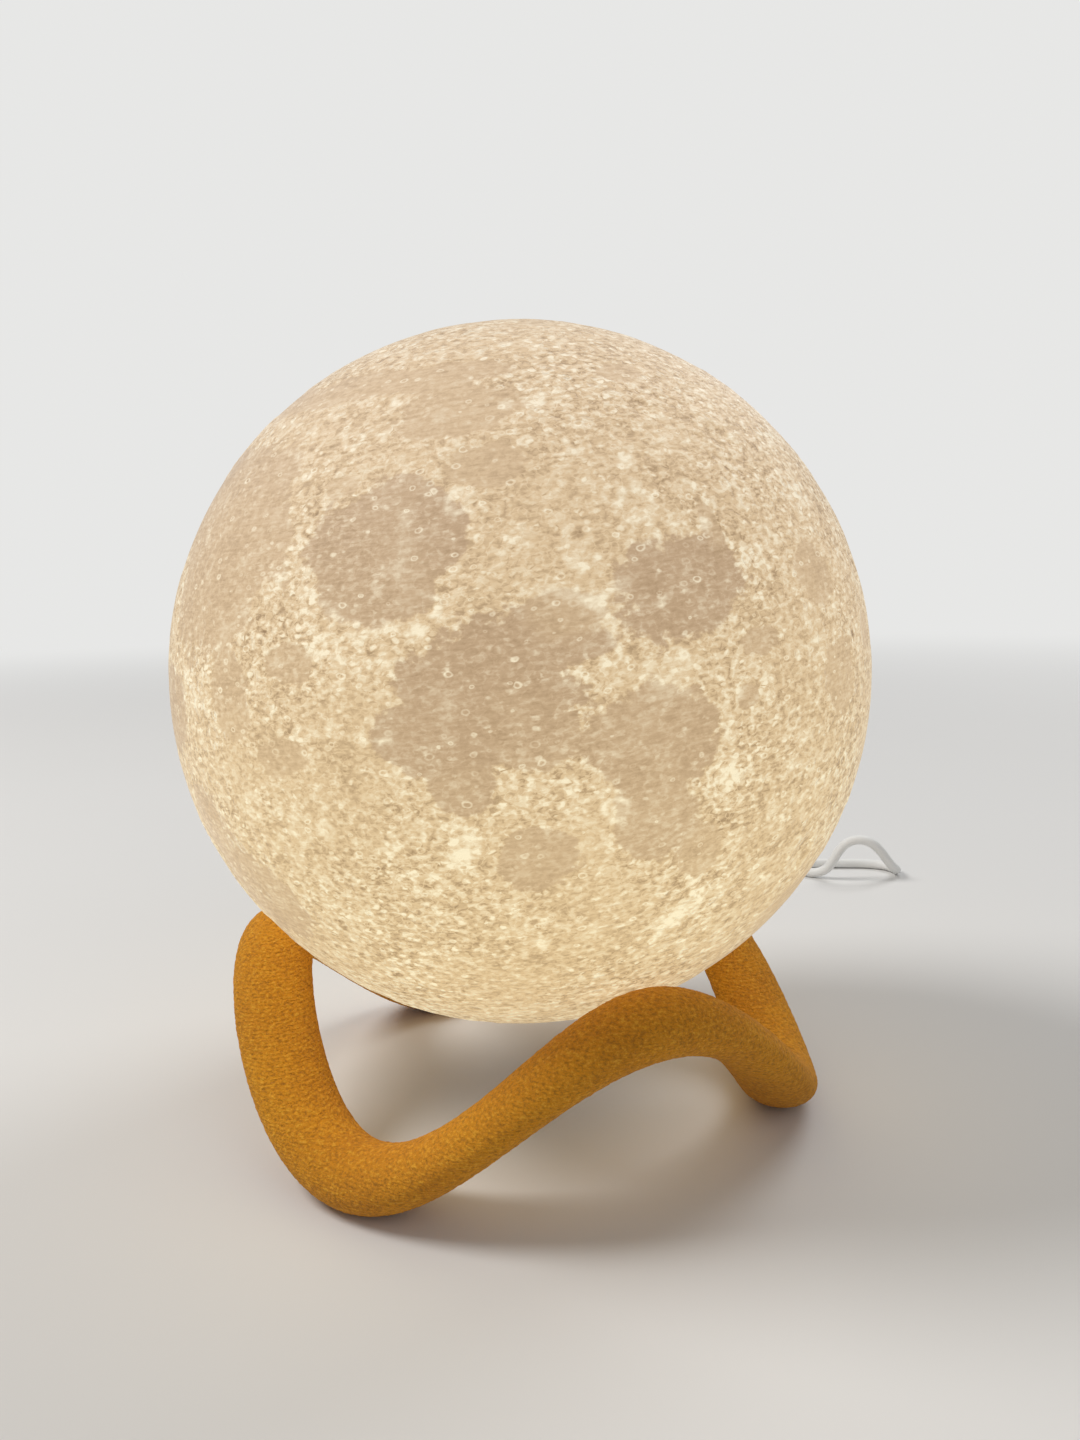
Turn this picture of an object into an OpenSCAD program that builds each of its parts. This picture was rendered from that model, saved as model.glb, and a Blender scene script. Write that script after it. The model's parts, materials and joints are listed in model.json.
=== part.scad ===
// Moon lamp: a printed globe that glows from a light module in its neck. It lies
// loose on a ring stand that rises and falls in three waves, and a thin lead with
// a USB plug feeds it from below.
// Millimetres, +Z up. The origin is on the table, under the centre of the globe.

/* [Globe] */
// Outer diameter of the globe
moon_d = 150; // [130:1:180]
// Wall thickness of the globe
shell_wall = 2.4; // [1.8:0.1:3.2]
// Diameter of the opening at the bottom of the globe
neck_d = 56; // [54:0.5:62]
// Depth of the deepest craters
crater_depth = 0.8; // [0.3:0.1:1.2]
// Heading of the map: where its zero meridian faces
map_heading = -89.5; // [-180:0.5:180]
// Lean of the map towards the zero meridian
map_nod = 6.9; // [-15:0.1:15]
// Lean of the map to the side
map_tilt = 4.6; // [-15:0.1:15]

/* [Stand] */
// Radius of the ring's centre line
ring_r = 57; // [52:0.5:62]
// Width of the ring's round bar, along the radius
bar_w = 17; // [12:0.5:20]
// Height of the ring's round bar
bar_h = 12.4; // [10:0.2:15]
// Rise of the bar from its feet to its crests
wave_h = 31.6; // [29:0.2:40]
// Number of waves round the ring
waves = 3; // [3:1:5]
// Direction of the first crest
crest_az = 90; // [0:1:359]
// Height sanded off under each foot
foot_flat = 0.5; // [0.2:0.1:1]
// Gap between the globe and the crests that carry it
seat_gap = 0.3; // [0.2:0.1:0.6]

/* [Neck collar] */
// Wall thickness of the collar glued into the opening
collar_wall = 2.6; // [2:0.1:3]
// Height of the collar
collar_h = 8.6; // [7:0.1:10]
// Reach of the collar's flange inside the globe
flange_reach = 3.4; // [2:0.1:5]
// Thickness of the collar's flange
flange_t = 1.6; // [1.2:0.1:2.4]
// Glue gap between the collar and the globe
glue_gap = 0.1; // [0.05:0.05:0.2]
// Play between the collar and what turns in it
turn_gap = 0.4; // [0.3:0.05:0.6]

/* [Base cap] */
// Thickness of the cap's floor
cap_t = 3; // [2.6:0.1:4]
// Reach of the cap's rim past its skirt, under the collar's step
cap_lip = 1.5; // [1.2:0.1:1.6]
// Thickness of the cap's skirt
skirt_t = 1.8; // [1.4:0.1:2]
// Height of the screw bosses, which is the room under the driver board
boss_h = 8.6; // [8.2:0.1:11]
// Radius of the circle that the three case screws lie on
screw_circle_r = 17.8; // [17:0.1:18.2]
// Reach of the snap hooks over the collar
hook_reach = 1.2; // [0.8:0.1:1.6]
// Height of the snap hooks
hook_h = 1.6; // [1.2:0.1:2.4]
// Width of the snap hooks, as an angle
hook_span = 24; // [14:1:40]

/* [Screws] */
// Shank diameter of the case screws
case_screw_d = 2.2; // [1.8:0.1:2.6]
// Length of the case screws under the head
case_screw_l = 18; // [15:0.5:20]
// Head diameter of the case screws
case_head_d = 4.2; // [3.6:0.1:4.6]
// Head height of the case screws
case_head_h = 1.6; // [1.2:0.1:1.8]
// Shank diameter of the light board's screws
board_screw_d = 1.6; // [1.2:0.1:2]
// Head diameter of the light board's screws
board_head_d = 3.2; // [2.8:0.1:3.6]
// Head height of the light board's screws
board_head_h = 1.1; // [0.8:0.1:1.4]
// Play round a shank in a plain hole
hole_play = 0.3; // [0.2:0.05:0.4]
// Play round a shank in its pilot hole
pilot_play = 0.05; // [0.03:0.01:0.1]

/* [Driver board and battery] */
// Thickness of the circuit boards
board_t = 1.6; // [1:0.1:2]
// Radial play between the driver board and the skirt
board_play = 0.8; // [0.5:0.1:1.2]
// Length of the battery, along Y
battery_l = 26; // [20:0.5:26]
// Width of the battery, along X
battery_w = 24; // [18:0.5:24]
// Thickness of the battery
battery_t = 8; // [6:0.5:12]
// Thickness of the foam pad under the battery
pad_t = 1; // [0.6:0.1:2]
// Diameter of the inner wires
wire_d = 1; // [0.8:0.1:1.2]

/* [Light module] */
// Wall thickness of the module's housing
housing_wall = 1.6; // [1.2:0.1:2]
// Thickness of the plate that carries the light board
plate_t = 2; // [1.6:0.1:3]
// Room over the battery
battery_room = 0.8; // [0.4:0.1:2]
// Width of the ledge round the diffuser
ledge_w = 1; // [0.6:0.1:2]
// Wall thickness of the diffuser
cover_wall = 1.2; // [0.9:0.1:1.6]
// Height of the diffuser's straight rim
cover_rim = 3; // [2.4:0.1:5]
// Rise of the diffuser's dome
cover_rise = 9; // [6:0.5:14]
// Radius of the outer ring of lights
led_outer_r = 12; // [11:0.5:13]
// Radius of the inner ring of lights
led_inner_r = 5; // [4:0.5:6.5]
// Size of one light: width, length and height
led_size = [2.8, 3.5, 0.8];

/* [Button] */
// Diameter of the button
button_d = 8; // [6:0.5:9]
// How far the button stands out of the cap
button_proud = 1; // [0.9:0.1:2]
// Travel of the button
button_travel = 0.8; // [0.4:0.1:0.8]
// Distance from the centre to the button and to the charge light
control_r = 13; // [12:0.5:13.5]
// Play round the button
button_play = 0.1; // [0.05:0.05:0.2]
// Diameter of the charge light's clear rod
pipe_d = 3; // [2:0.1:3.6]

/* [Socket and plug] */
// Diameter of the plug's barrel
barrel_d = 3.5; // [3:0.1:4]
// Bore of the plug's barrel
barrel_bore_d = 1.35; // [1.3:0.05:1.6]
// Length of the plug's barrel
barrel_l = 9; // [8:0.1:9]
// Diameter of the socket's centre pin
socket_pin_d = 1.2; // [1:0.05:1.25]
// Radial play of the barrel in the socket
plug_play = 0.05; // [0.03:0.01:0.1]
// Diameter of the socket's body
socket_d = 8; // [7:0.5:9]
// Height of the plug's body
plug_h = 8.4; // [8:0.1:10]
// Width of the plug's body
plug_w = 8; // [7.4:0.2:10]
// Length of the plug's body from the barrel's axis
plug_l = 14; // [10:0.5:16]
// Length of the plug's strain relief
relief_l = 12; // [8:0.5:13]

/* [Lead] */
// Diameter of the lead
cord_d = 3.5; // [3:0.1:3.6]
// Radius of the coil's outer turn
coil_r = 25; // [24:0.5:26]
// Step from one turn of the coil to the next, and from layer to layer
coil_pitch = 4; // [4:0.1:4.2]
// Width of the USB plug's grip
usb_grip_w = 15.5; // [14:0.5:18]
// Height of the USB plug's grip
usb_grip_h = 8.4; // [7.6:0.2:10]
// Length of the USB plug's grip
usb_grip_l = 22; // [18:1:28]
// Width of the strap round the coil
tie_w = 8; // [5:0.5:12]
// Thickness of the strap round the coil
tie_t = 0.8; // [0.5:0.1:0.8]

/* [Hidden] */

$fn = 64;
eps = 0.01;                       // overlap that keeps a cut open

// Globe and stand
moon_r = moon_d / 2;
inner_r = moon_r - shell_wall;
neck_r = neck_d / 2;
ring_steps = 120;                 // sections round the ring
bar_steps = 16;                   // points round the bar
crest_z = bar_h / 2 + wave_h - foot_flat;

// Normal of the bar's section at the angle t, as [outward, up]
function bar_normal(t) =
    let (n = [bar_h * cos(t), bar_w * sin(t)]) n / norm(n);
// How far a globe that touches a crest at the angle t misses the ring's axis
function seat_miss(t) =
    ring_r + bar_w / 2 * cos(t) + (moon_r + seat_gap) * bar_normal(t)[0];
// Angle at which the globe rests on a crest, found by halving the interval
function seat_angle(low, high, n) =
    let (mid = (low + high) / 2)
    n == 0 ? mid
    : seat_miss(mid) > 0 ? seat_angle(mid, high, n - 1)
    : seat_angle(low, mid, n - 1);
seat_t = seat_angle(90, 180, 40);
moon_z = crest_z + bar_h / 2 * sin(seat_t) + (moon_r + seat_gap) * bar_normal(seat_t)[1];

// Craters of the map: longitude, latitude and radius in degrees, and depth as a
// share of crater_depth
craters = [
    [56, 28, 2.1, 0.8], [61, -9, 2.2, 1], [60, -25, 3, 0.9], [57, 54, 2.1, 0.8],
    [30, 32, 1.7, 0.6], [26, -11, 1.7, 1], [17, 50, 1.5, 0.8], [44, 47, 1.5, 0.8],
    [46, 21, 1.2, 0.7], [-20, 10, 1.6, 1], [-11, -43, 1.5, 1], [-9, 52, 1.8, 0.5],
    [-40, -17, 1.8, 0.6], [-2, -9, 2.5, 0.5], [41, -45, 3.1, 0.5], [60, -36, 2.1, 0.7],
    [-14, -58, 3.7, 0.8], [-55, -44, 3.8, 0.6], [-68, -5, 2.9, 0.7], [81, -27, 3.3, 0.8],
    [79, 36, 2.9, 0.7], [129, -20, 3, 1], [141, 6, 5, 0.8], [-158, -4, 6.5, 0.9],
    [-129, 2, 7.5, 0.8], [-152, -36, 7, 0.9], [149, -20, 4.2, 0.7], [-95, -19, 5.2, 1],
    [-146, 59, 5.5, 0.7], [164, 51, 4, 0.7], [148, 27, 4.5, 0.6], [122, -45, 3.6, 0.7],
    [172, -27, 3.6, 0.8], [-149, 18, 3, 0.9], [-63, 63, 2.4, 0.8], [14, -42, 2, 0.7],
    [104, 12, 3.2, 0.7], [112, 48, 2.6, 0.8], [-110, 36, 3.4, 0.7], [-176, 12, 2.4, 0.9]
];

// Heights, from the globe's rim down to the cap and up through the module
rim_z = moon_z - sqrt(moon_r * moon_r - neck_r * neck_r);
rim_inset = 0.2;                  // how far collar and cap stay inside the globe's rim
cap_z = rim_z + rim_inset;
cap_top_z = cap_z + cap_t;
step_z = cap_top_z + turn_gap;    // the collar's step, under which the cap's rim lies
collar_r = neck_r - glue_gap;
collar_in_r = collar_r - collar_wall;
collar_top_z = rim_z + collar_h;
skirt_r = collar_in_r - turn_gap;
skirt_in_r = skirt_r - skirt_t;
cap_r = skirt_r + cap_lip;
hook_z = collar_top_z + turn_gap;
hook_inset = 0.15;                // how much thinner than the skirt a hook's stem is
board_z = cap_top_z + boss_h;
board_top_z = board_z + board_t;
board_r = skirt_in_r - board_play;
battery_z = board_top_z + pad_t;
plate_z = battery_z + battery_t + battery_room;
plate_top_z = plate_z + plate_t;
housing_r = board_r;
housing_in_r = housing_r - housing_wall;
cover_r = housing_r - ledge_w;
cover_in_r = cover_r - cover_wall;
led_board_r = cover_in_r - hole_play;
led_top_z = plate_top_z + board_t;

// Screws
case_screw_az = [90, 210, 330];
case_screw_z = cap_z + case_head_h + 0.2;
boss_r = case_head_d / 2 + 0.5;
post_r = case_screw_d / 2 + 1.2;
board_screw_r = led_board_r - board_head_d / 2 - 0.6;
board_screw_az = [35, 215];

// Controls on the cap
button_az = 270;
pipe_az = 20;
control_flange = 0.9;             // reach of the button's and the rod's flanges
control_flange_t = 1.1;
control_gap = 0.1;                // play under those flanges
switch_w = 6;
switch_h = 3.5;
plunger_d = 3.4;
plunger_top_z = board_z - 1.9;

// Socket, plug and lead
socket_gap = 0.2;                 // room between the socket's mouth and the cap
socket_z = cap_top_z + socket_gap;
plug_gap = 0.3;                   // room between the plug's body and the cap
plug_top_z = cap_z - plug_gap;
barrel_top_z = plug_top_z + barrel_l;
socket_end_z = barrel_top_z + 0.5;
cord_z = plug_top_z - plug_h / 2;
relief_y = plug_l + relief_l;
cord_r = cord_d / 2;
cord_sides = 8;

// The lead's route between its plug and its coil, chosen by hand: down from the
// plug, back under a crest of the stand, up in one low hump and round to the coil
run_points = [
    [0, 35.5, 21.2], [-0.3, 41.5, 16.6], [-0.8, 47.5, 10.8], [-1.5, 54, 5.6],
    [-2.5, 61.5, 2.6], [-4, 70, 1.8],
    [-8, 92, 1.8], [-13, 118, 1.8], [-18, 142, 1.8], [-21.5, 162, 1.8], [-23.5, 179, 1.8],
    [-24, 189, 1.8], [-21.5, 197.2, 1.8], [-15.6, 201.6, 1.8], [-8.4, 201.8, 2],
    [-4.4, 202, 4], [-1.9, 202.4, 7.6], [0.3, 203, 11.6], [3.2, 204, 14.8], [7, 205.5, 16],
    [10.6, 207.4, 15], [13.2, 209.6, 12.2], [15.2, 212, 8.4], [16.6, 215.2, 4.9],
    [16.8, 219.2, 2.8], [15, 223, 1.9], [10.6, 225.6, 1.8], [4.4, 225.2, 1.8],
    [-6, 219.8, 1.8], [-18, 213, 1.8], [-30, 207, 1.8], [-40, 203, 2.2]
];
// The lead's route between its coil and its USB plug
tail_points = [[-81.2, 162, 5.2]];
coil_at = [-55, 176];
coil_z = cord_r + tie_t + 0.1;
coil_turns = 5.25;
coil_start = 90;                  // angle at which the lead enters the coil
coil_steps = 24;                  // rings to a turn
coil_sides = 6;
usb_at = [-82.5, 146, usb_grip_h / 2];
usb_relief_l = 6;

// Height of the coil's centre line: a half turn in its middle climbs a layer
function coil_climb(turn) =
    coil_pitch * min(1, max(0, (turn - coil_turns / 2) * 2 + 0.5));
// Centre line of the coil: in at a steady rate to its middle, and out again
function coil_point(turn) =
    let (r = coil_r - coil_pitch * min(turn, coil_turns - turn), a = coil_start + 360 * turn)
    [coil_at[0] + r * cos(a), coil_at[1] + r * sin(a), coil_z + coil_climb(turn)];
coil_count = coil_turns * coil_steps;
coil_curve = [for (i = [0 : coil_count]) coil_point(i / coil_steps)];
coil_lead = [cord_d, 0, 0];       // straight entry, square to the run
coil_path = concat([coil_curve[0] + coil_lead], coil_curve,
                   [coil_curve[coil_count] - [0, cord_d, 0]]);
coil_gap = min([for (i = [0 : coil_count]) for (j = [i + 18 : 1 : coil_count])
                norm(coil_curve[i] - coil_curve[j])]) - cord_d;
echo(coil_gap = coil_gap);

// Curve through hand-chosen points: n steps between each pair
function blend(a, b, c, d, t) =
    0.5 * (2 * b + (c - a) * t + (2 * a - 5 * b + 4 * c - d) * t * t
           + (3 * b - a - 3 * c + d) * t * t * t);
function smooth(p, n) = let (last = len(p) - 1)
    concat([for (i = [0 : last - 1]) for (k = [0 : n - 1])
            blend(p[max(0, i - 1)], p[i], p[i + 1], p[min(last, i + 2)], k / n)], [p[last]]);
run_start = [0, relief_y, cord_z];
run_path = concat([run_start], smooth(concat([run_start + [0, cord_d, 0]], run_points,
                  [coil_path[0] + coil_lead]), 2), [coil_path[0]]);
tail_start = coil_path[len(coil_path) - 1];
tail_end = usb_at + [0, usb_relief_l, 0];
tail_path = concat([tail_start], smooth(concat([tail_start - [0, cord_d, 0]], tail_points,
                   [tail_end + [0, cord_d, 0]]), 2), [tail_end]);

// ---- shapes that several pieces share

// Round tube of the given sides along a path
function along(p, i) =
    let (last = len(p) - 1, d = p[min(last, i + 1)] - p[max(0, i - 1)]) d / norm(d);
module tube(p, r, sides) {
    n = len(p);
    points = [for (i = [0 : n - 1])
        let (t = along(p, i), s = cross([0, 0, 1], t), side = s / norm(s), up = cross(t, side))
        for (k = [0 : sides - 1])
            p[i] + r * (cos(360 * k / sides) * side + sin(360 * k / sides) * up)];
    walls = [for (i = [0 : n - 2]) for (k = [0 : sides - 1])
        let (a = i * sides + k, b = i * sides + (k + 1) % sides)
        each [[a, a + sides, b], [b, a + sides, b + sides]]];
    ends = [for (k = [1 : sides - 2])
        each [[0, k, k + 1], [(n - 1) * sides, (n - 1) * sides + k + 1, (n - 1) * sides + k]]];
    polyhedron(points = points, faces = concat(walls, ends));
}

// Hollow or solid ring between two heights
module ring(r_out, r_in, z_low, z_high) {
    translate([0, 0, z_low]) difference() {
        cylinder(r = r_out, h = z_high - z_low);
        translate([0, 0, -eps]) cylinder(r = r_in, h = z_high - z_low + 2 * eps);
    }
}

// Rod between two heights
module rod(r, z_low, z_high) {
    translate([0, 0, z_low]) cylinder(r = r, h = z_high - z_low);
}

// Rectangle with round corners
module round_rect(w, h, r) {
    square([w - 2 * r, h], center = true);
    square([w, h - 2 * r], center = true);
    for (x = [-1, 1], y = [-1, 1])
        translate([x * (w / 2 - r), y * (h / 2 - r)]) circle(r = r, $fn = 32);
}

// Puts a child at a radius and direction from the centre
module polar(r, az) {
    rotate([0, 0, az]) translate([r, 0, 0]) children();
}

// ---- stand

function bar_point(az, t) =
    let (r = ring_r + bar_w / 2 * cos(t),
         z = bar_h / 2 * (1 + sin(t)) + wave_h / 2 * (1 + cos(waves * (az - crest_az))))
    [r * cos(az), r * sin(az), max(z, foot_flat) - foot_flat];

module stand_ring() {
    points = [for (i = [0 : ring_steps - 1]) for (k = [0 : bar_steps - 1])
        bar_point(360 * i / ring_steps, 360 * k / bar_steps)];
    faces = [for (i = [0 : ring_steps - 1]) for (k = [0 : bar_steps - 1])
        let (a = i * bar_steps + k, b = i * bar_steps + (k + 1) % bar_steps,
             c = ((i + 1) % ring_steps) * bar_steps + k,
             d = ((i + 1) % ring_steps) * bar_steps + (k + 1) % bar_steps)
        each [[a, b, c], [b, d, c]]];
    color("goldenrod") polyhedron(points = points, faces = faces);
}

// ---- globe

// Bowl of one crater, cut into the surface of the globe
module crater(lon, lat, span, share) {
    rim_r = moon_r * sin(span);
    depth = crater_depth * share;
    bowl_r = (rim_r * rim_r + depth * depth) / (2 * depth);
    rotate([0, 90 - lat, lon])
        translate([0, 0, moon_r * cos(span) - depth + bowl_r]) sphere(r = bowl_r);
}

module moon_shell() {
    color("cornsilk") difference() {
        translate([0, 0, moon_z]) difference() {
            sphere(r = moon_r, $fn = 96);
            sphere(r = inner_r, $fn = 96);
            rotate([map_tilt, map_nod, map_heading])
                for (c = craters) crater(c[0], c[1], c[2], c[3]);
        }
        rod(neck_r, moon_z - moon_r - 1, moon_z - moon_r / 2);
    }
}

module neck_collar() {
    flange_r = collar_r + flange_reach;
    fit_r = inner_r - glue_gap;
    flange_low = moon_z - sqrt(fit_r * fit_r - collar_r * collar_r);
    flange_high = moon_z - sqrt(fit_r * fit_r - flange_r * flange_r) + flange_t;
    color("whitesmoke") {
        ring(collar_r, cap_r + turn_gap, cap_z, step_z + eps);
        ring(collar_r, collar_in_r, step_z, collar_top_z);
        intersection() {
            ring(flange_r, collar_r - 0.5, flange_low, flange_high);
            translate([0, 0, moon_z]) sphere(r = fit_r, $fn = 96);
        }
    }
}

// ---- base cap and its controls

module base_cap() {
    color("white") difference() {
        union() {
            rod(cap_r, cap_z, cap_top_z);
            ring(skirt_r, skirt_in_r, cap_top_z - eps, collar_top_z);
            for (az = case_screw_az) rotate([0, 0, az + 60]) snap_hook();
            for (az = case_screw_az)
                polar(screw_circle_r, az) rod(boss_r, cap_top_z - eps, board_z);
        }
        for (az = case_screw_az) polar(screw_circle_r, az) {
            rod(case_screw_d / 2 + hole_play, cap_z - eps, board_z + eps);
            rod(case_head_d / 2 + hole_play, cap_z - eps, case_screw_z);
        }
        polar(control_r, button_az) rod(button_d / 2 + button_play, cap_z - eps, cap_top_z + eps);
        polar(control_r, pipe_az) rod(pipe_d / 2 + button_play, cap_z - eps, cap_top_z + eps);
        rod(barrel_d / 2 + 0.5, cap_z - eps, cap_top_z + eps);
    }
}

// Hook of the skirt that snaps over the collar's top edge: a stem sunk into the skirt,
// a little thinner than it, and a lip
module snap_hook() {
    stem_in = skirt_in_r + hook_inset;
    stem_out = skirt_r - hook_inset;
    rotate([0, 0, -hook_span / 2]) rotate_extrude(angle = hook_span) polygon([
        [stem_in, collar_top_z - 1], [stem_out, collar_top_z - 1], [stem_out, hook_z],
        [skirt_r + turn_gap + hook_reach, hook_z], [stem_out, hook_z + hook_h],
        [stem_in, hook_z + hook_h]
    ]);
}

module power_button() {
    flange_z = cap_top_z + control_gap;
    color("silver") polar(control_r, button_az) {
        rod(button_d / 2, cap_z - button_proud, flange_z + eps);
        rod(button_d / 2 + control_flange, flange_z, flange_z + control_flange_t);
        rod(plunger_d / 2 + 0.6, flange_z, board_z - switch_h - button_travel - 0.3);
    }
}

module switch_plunger() {
    color("dimgray") polar(control_r, button_az)
        rod(plunger_d / 2, board_z - switch_h - button_travel - 0.3, plunger_top_z);
}

module switch_body() {
    color("black") polar(control_r, button_az) difference() {
        translate([-switch_w / 2, -switch_w / 2, board_z - switch_h])
            cube([switch_w, switch_w, switch_h]);
        rod(plunger_d / 2 + button_play, board_z - switch_h - eps,
            plunger_top_z + button_travel + 0.3);
    }
}

module charge_light_pipe() {
    flange_z = cap_top_z + control_gap;
    color("azure") polar(control_r, pipe_az) {
        rod(pipe_d / 2, cap_z, board_z - 1);
        rod(pipe_d / 2 + control_flange, flange_z, flange_z + control_flange_t);
    }
}

// ---- socket and boards

module dc_socket() {
    color("black") difference() {
        rod(socket_d / 2, socket_z, board_z);
        rod(barrel_d / 2 + plug_play, socket_z - eps, socket_end_z);
    }
}

module dc_socket_pin() {
    color("gold") rod(socket_pin_d / 2, socket_z + 1, socket_end_z);
}

module driver_board() {
    color("darkgreen") difference() {
        rod(board_r, board_z, board_top_z);
        for (az = case_screw_az)
            polar(screw_circle_r, az)
                rod(case_screw_d / 2 + hole_play, board_z - eps, board_top_z + eps);
    }
}

// Chips, coil and capacitors that hang under the driver board
module board_components() {
    color("dimgray") {
        for (chip = [[-9, 5, 5, 4, 1.5], [-10, -2, 3, 3, 1.2], [7, 10, 3, 2, 1], [9, -5, 2, 1.2, 0.8]])
            translate([chip[0] - chip[2] / 2, chip[1] - chip[3] / 2, board_z - chip[4]])
                cube([chip[2], chip[3], chip[4]]);
        translate([-7, 12.5, 0]) rod(2.6, board_z - 3, board_z);
        translate([7.5, -1.5, 0]) rod(1.8, board_z - 5, board_z);
    }
}

module case_screws() {
    color("lightgray") for (az = case_screw_az) polar(screw_circle_r, az) difference() {
        union() {
            rod(case_head_d / 2, case_screw_z - case_head_h, case_screw_z);
            rod(case_screw_d / 2, case_screw_z - eps, case_screw_z + case_screw_l);
        }
        screw_cross(case_head_d, case_screw_z - case_head_h);
    }
}

// Cross recess in a head whose outer face is at the height z, open downwards
module screw_cross(head_d, z) {
    for (turn = [0, 90]) rotate([0, 0, turn])
        translate([-head_d * 0.3, -head_d * 0.07, z - eps]) cube([head_d * 0.6, head_d * 0.14, 0.7]);
}

// ---- battery

module battery_pad() {
    color("darkslategray") translate([-battery_w / 2, -battery_l / 2, board_top_z])
        cube([battery_w, battery_l, pad_t]);
}

module battery_cell() {
    color("silver") translate([0, 0, battery_z]) linear_extrude(battery_t)
        round_rect(battery_w, battery_l, 2);
}

// Wire that stands on the driver board and bends into the battery's side
module battery_lead(y) {
    x = -battery_w / 2 - wire_d;
    top = battery_z + battery_t * 0.6;
    translate([x, y, 0]) {
        rod(wire_d / 2, board_top_z, top);
        translate([0, 0, top]) sphere(r = wire_d / 2, $fn = 24);
        translate([0, 0, top]) rotate([0, 90, 0]) cylinder(r = wire_d / 2, h = wire_d, $fn = 24);
    }
}

module battery_leads() {
    color("firebrick") for (y = [-1.5, 1.5]) battery_lead(y);
}

// ---- light module

// Where the two wires to the light board rise: beside the battery's end
led_wire_gap = 0.6;
led_lead_at = [for (inset = [4.4, 2.6])
    [battery_w / 2 - inset, battery_l / 2 + wire_d / 2 + led_wire_gap]];

module module_housing() {
    color("white") difference() {
        union() {
            ring(housing_r, housing_in_r, board_top_z, plate_z + eps);
            rod(housing_r, plate_z, plate_top_z);
            for (az = case_screw_az)
                polar(screw_circle_r, az) rod(post_r, board_top_z, plate_z + eps);
        }
        for (az = case_screw_az) polar(screw_circle_r, az)
            rod(case_screw_d / 2 + pilot_play, board_top_z - eps, case_screw_z + case_screw_l + 0.5);
        for (az = board_screw_az) polar(board_screw_r, az)
            rod(board_screw_d / 2 + pilot_play, plate_z - eps, plate_top_z + eps);
        for (p = led_lead_at) translate([p[0], p[1], 0])
            rod(wire_d / 2 + hole_play, plate_z - eps, plate_top_z + eps);
    }
}

module led_board() {
    color("white") difference() {
        rod(led_board_r, plate_top_z, led_top_z);
        for (az = board_screw_az) polar(board_screw_r, az)
            rod(board_screw_d / 2 + hole_play, plate_top_z - eps, led_top_z + eps);
    }
}

// One light: a block with a shallow round dish in its top
module led_chip() {
    difference() {
        translate([-led_size[0] / 2, -led_size[1] / 2, led_top_z]) cube(led_size);
        rod(min(led_size[0], led_size[1]) * 0.38, led_top_z + led_size[2] * 0.7,
            led_top_z + led_size[2] + eps);
    }
}

module led_chips() {
    color("gold") {
        for (i = [0 : 7]) polar(led_outer_r, 45 * i + 12) led_chip();
        for (i = [0 : 3]) polar(led_inner_r, 90 * i + 45) led_chip();
    }
}

module led_board_screws() {
    color("lightgray") for (az = board_screw_az) polar(board_screw_r, az) difference() {
        union() {
            rod(board_head_d / 2, led_top_z, led_top_z + board_head_h);
            rod(board_screw_d / 2, plate_z, led_top_z + eps);
        }
        mirror([0, 0, 1]) screw_cross(board_head_d, -led_top_z - board_head_h);
    }
}

module led_leads() {
    color("firebrick") for (p = led_lead_at) translate([p[0], p[1], 0])
        rod(wire_d / 2, board_top_z, plate_top_z);
}

// Solid of the diffuser's outline: a straight rim under a dome
module cover_form(r, rim_top, rise) {
    dome_r = (r * r + rise * rise) / (2 * rise);
    rod(r, plate_top_z, rim_top);
    intersection() {
        translate([0, 0, rim_top + rise - dome_r]) sphere(r = dome_r, $fn = 96);
        rod(r, rim_top - eps, rim_top + rise + 1);
    }
}

module led_cover() {
    rim_top = plate_top_z + cover_rim;
    color("ghostwhite", 0.6) difference() {
        cover_form(cover_r, rim_top, cover_rise);
        translate([0, 0, -eps]) cover_form(cover_in_r, rim_top, cover_rise - cover_wall);
    }
}

// ---- plug and lead

module plug_body() {
    color("white") {
        rod(plug_w / 2, plug_top_z - plug_h, plug_top_z);
        translate([0, 0, cord_z]) rotate([-90, 0, 0])
            linear_extrude(plug_l) round_rect(plug_w - 1, plug_h - 1, 2.4);
    }
}

module plug_barrel() {
    color("silver") ring(barrel_d / 2, barrel_bore_d / 2, plug_top_z, barrel_top_z);
}

// Tapered sleeve with ribs, along +Y from the plug's body
module plug_strain_relief() {
    ribs = 4;
    step = relief_l / (ribs + 1);
    big_r = plug_w / 2 - 1.2;
    color("white") translate([0, plug_l, cord_z]) rotate([-90, 0, 0]) {
        cylinder(r1 = big_r - 0.4, r2 = cord_r + 0.3, h = relief_l);
        for (i = [0 : ribs - 1]) translate([0, 0, i * step + 0.3])
            cylinder(r = big_r - i * 0.25, h = step * 0.5);
    }
}

module cord_run() {
    color("white") tube(run_path, cord_r, cord_sides);
}

module cord_coil() {
    color("white") tube(coil_path, cord_r, coil_sides);
}

module cord_tail() {
    color("white") tube(tail_path, cord_r, cord_sides);
}

// Strap round all the turns, on the side of the coil that faces the lamp
module cord_tie() {
    inner = coil_r - coil_pitch * coil_turns / 2 - cord_r - 0.8;
    outer = coil_r + cord_r + 0.6;
    top = coil_z + coil_pitch + cord_r + 0.2;
    color("white") translate([coil_at[0], coil_at[1], 0]) rotate([0, 0, 270])
        translate([0, tie_w / 2, 0]) rotate([90, 0, 0]) linear_extrude(tie_w) difference() {
            translate([inner - tie_t, 0]) square([outer - inner + 2 * tie_t, top + tie_t]);
            translate([inner, tie_t]) square([outer - inner, top - tie_t]);
        }
}

// ---- USB plug, lying flat with its mouth towards -Y

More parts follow.
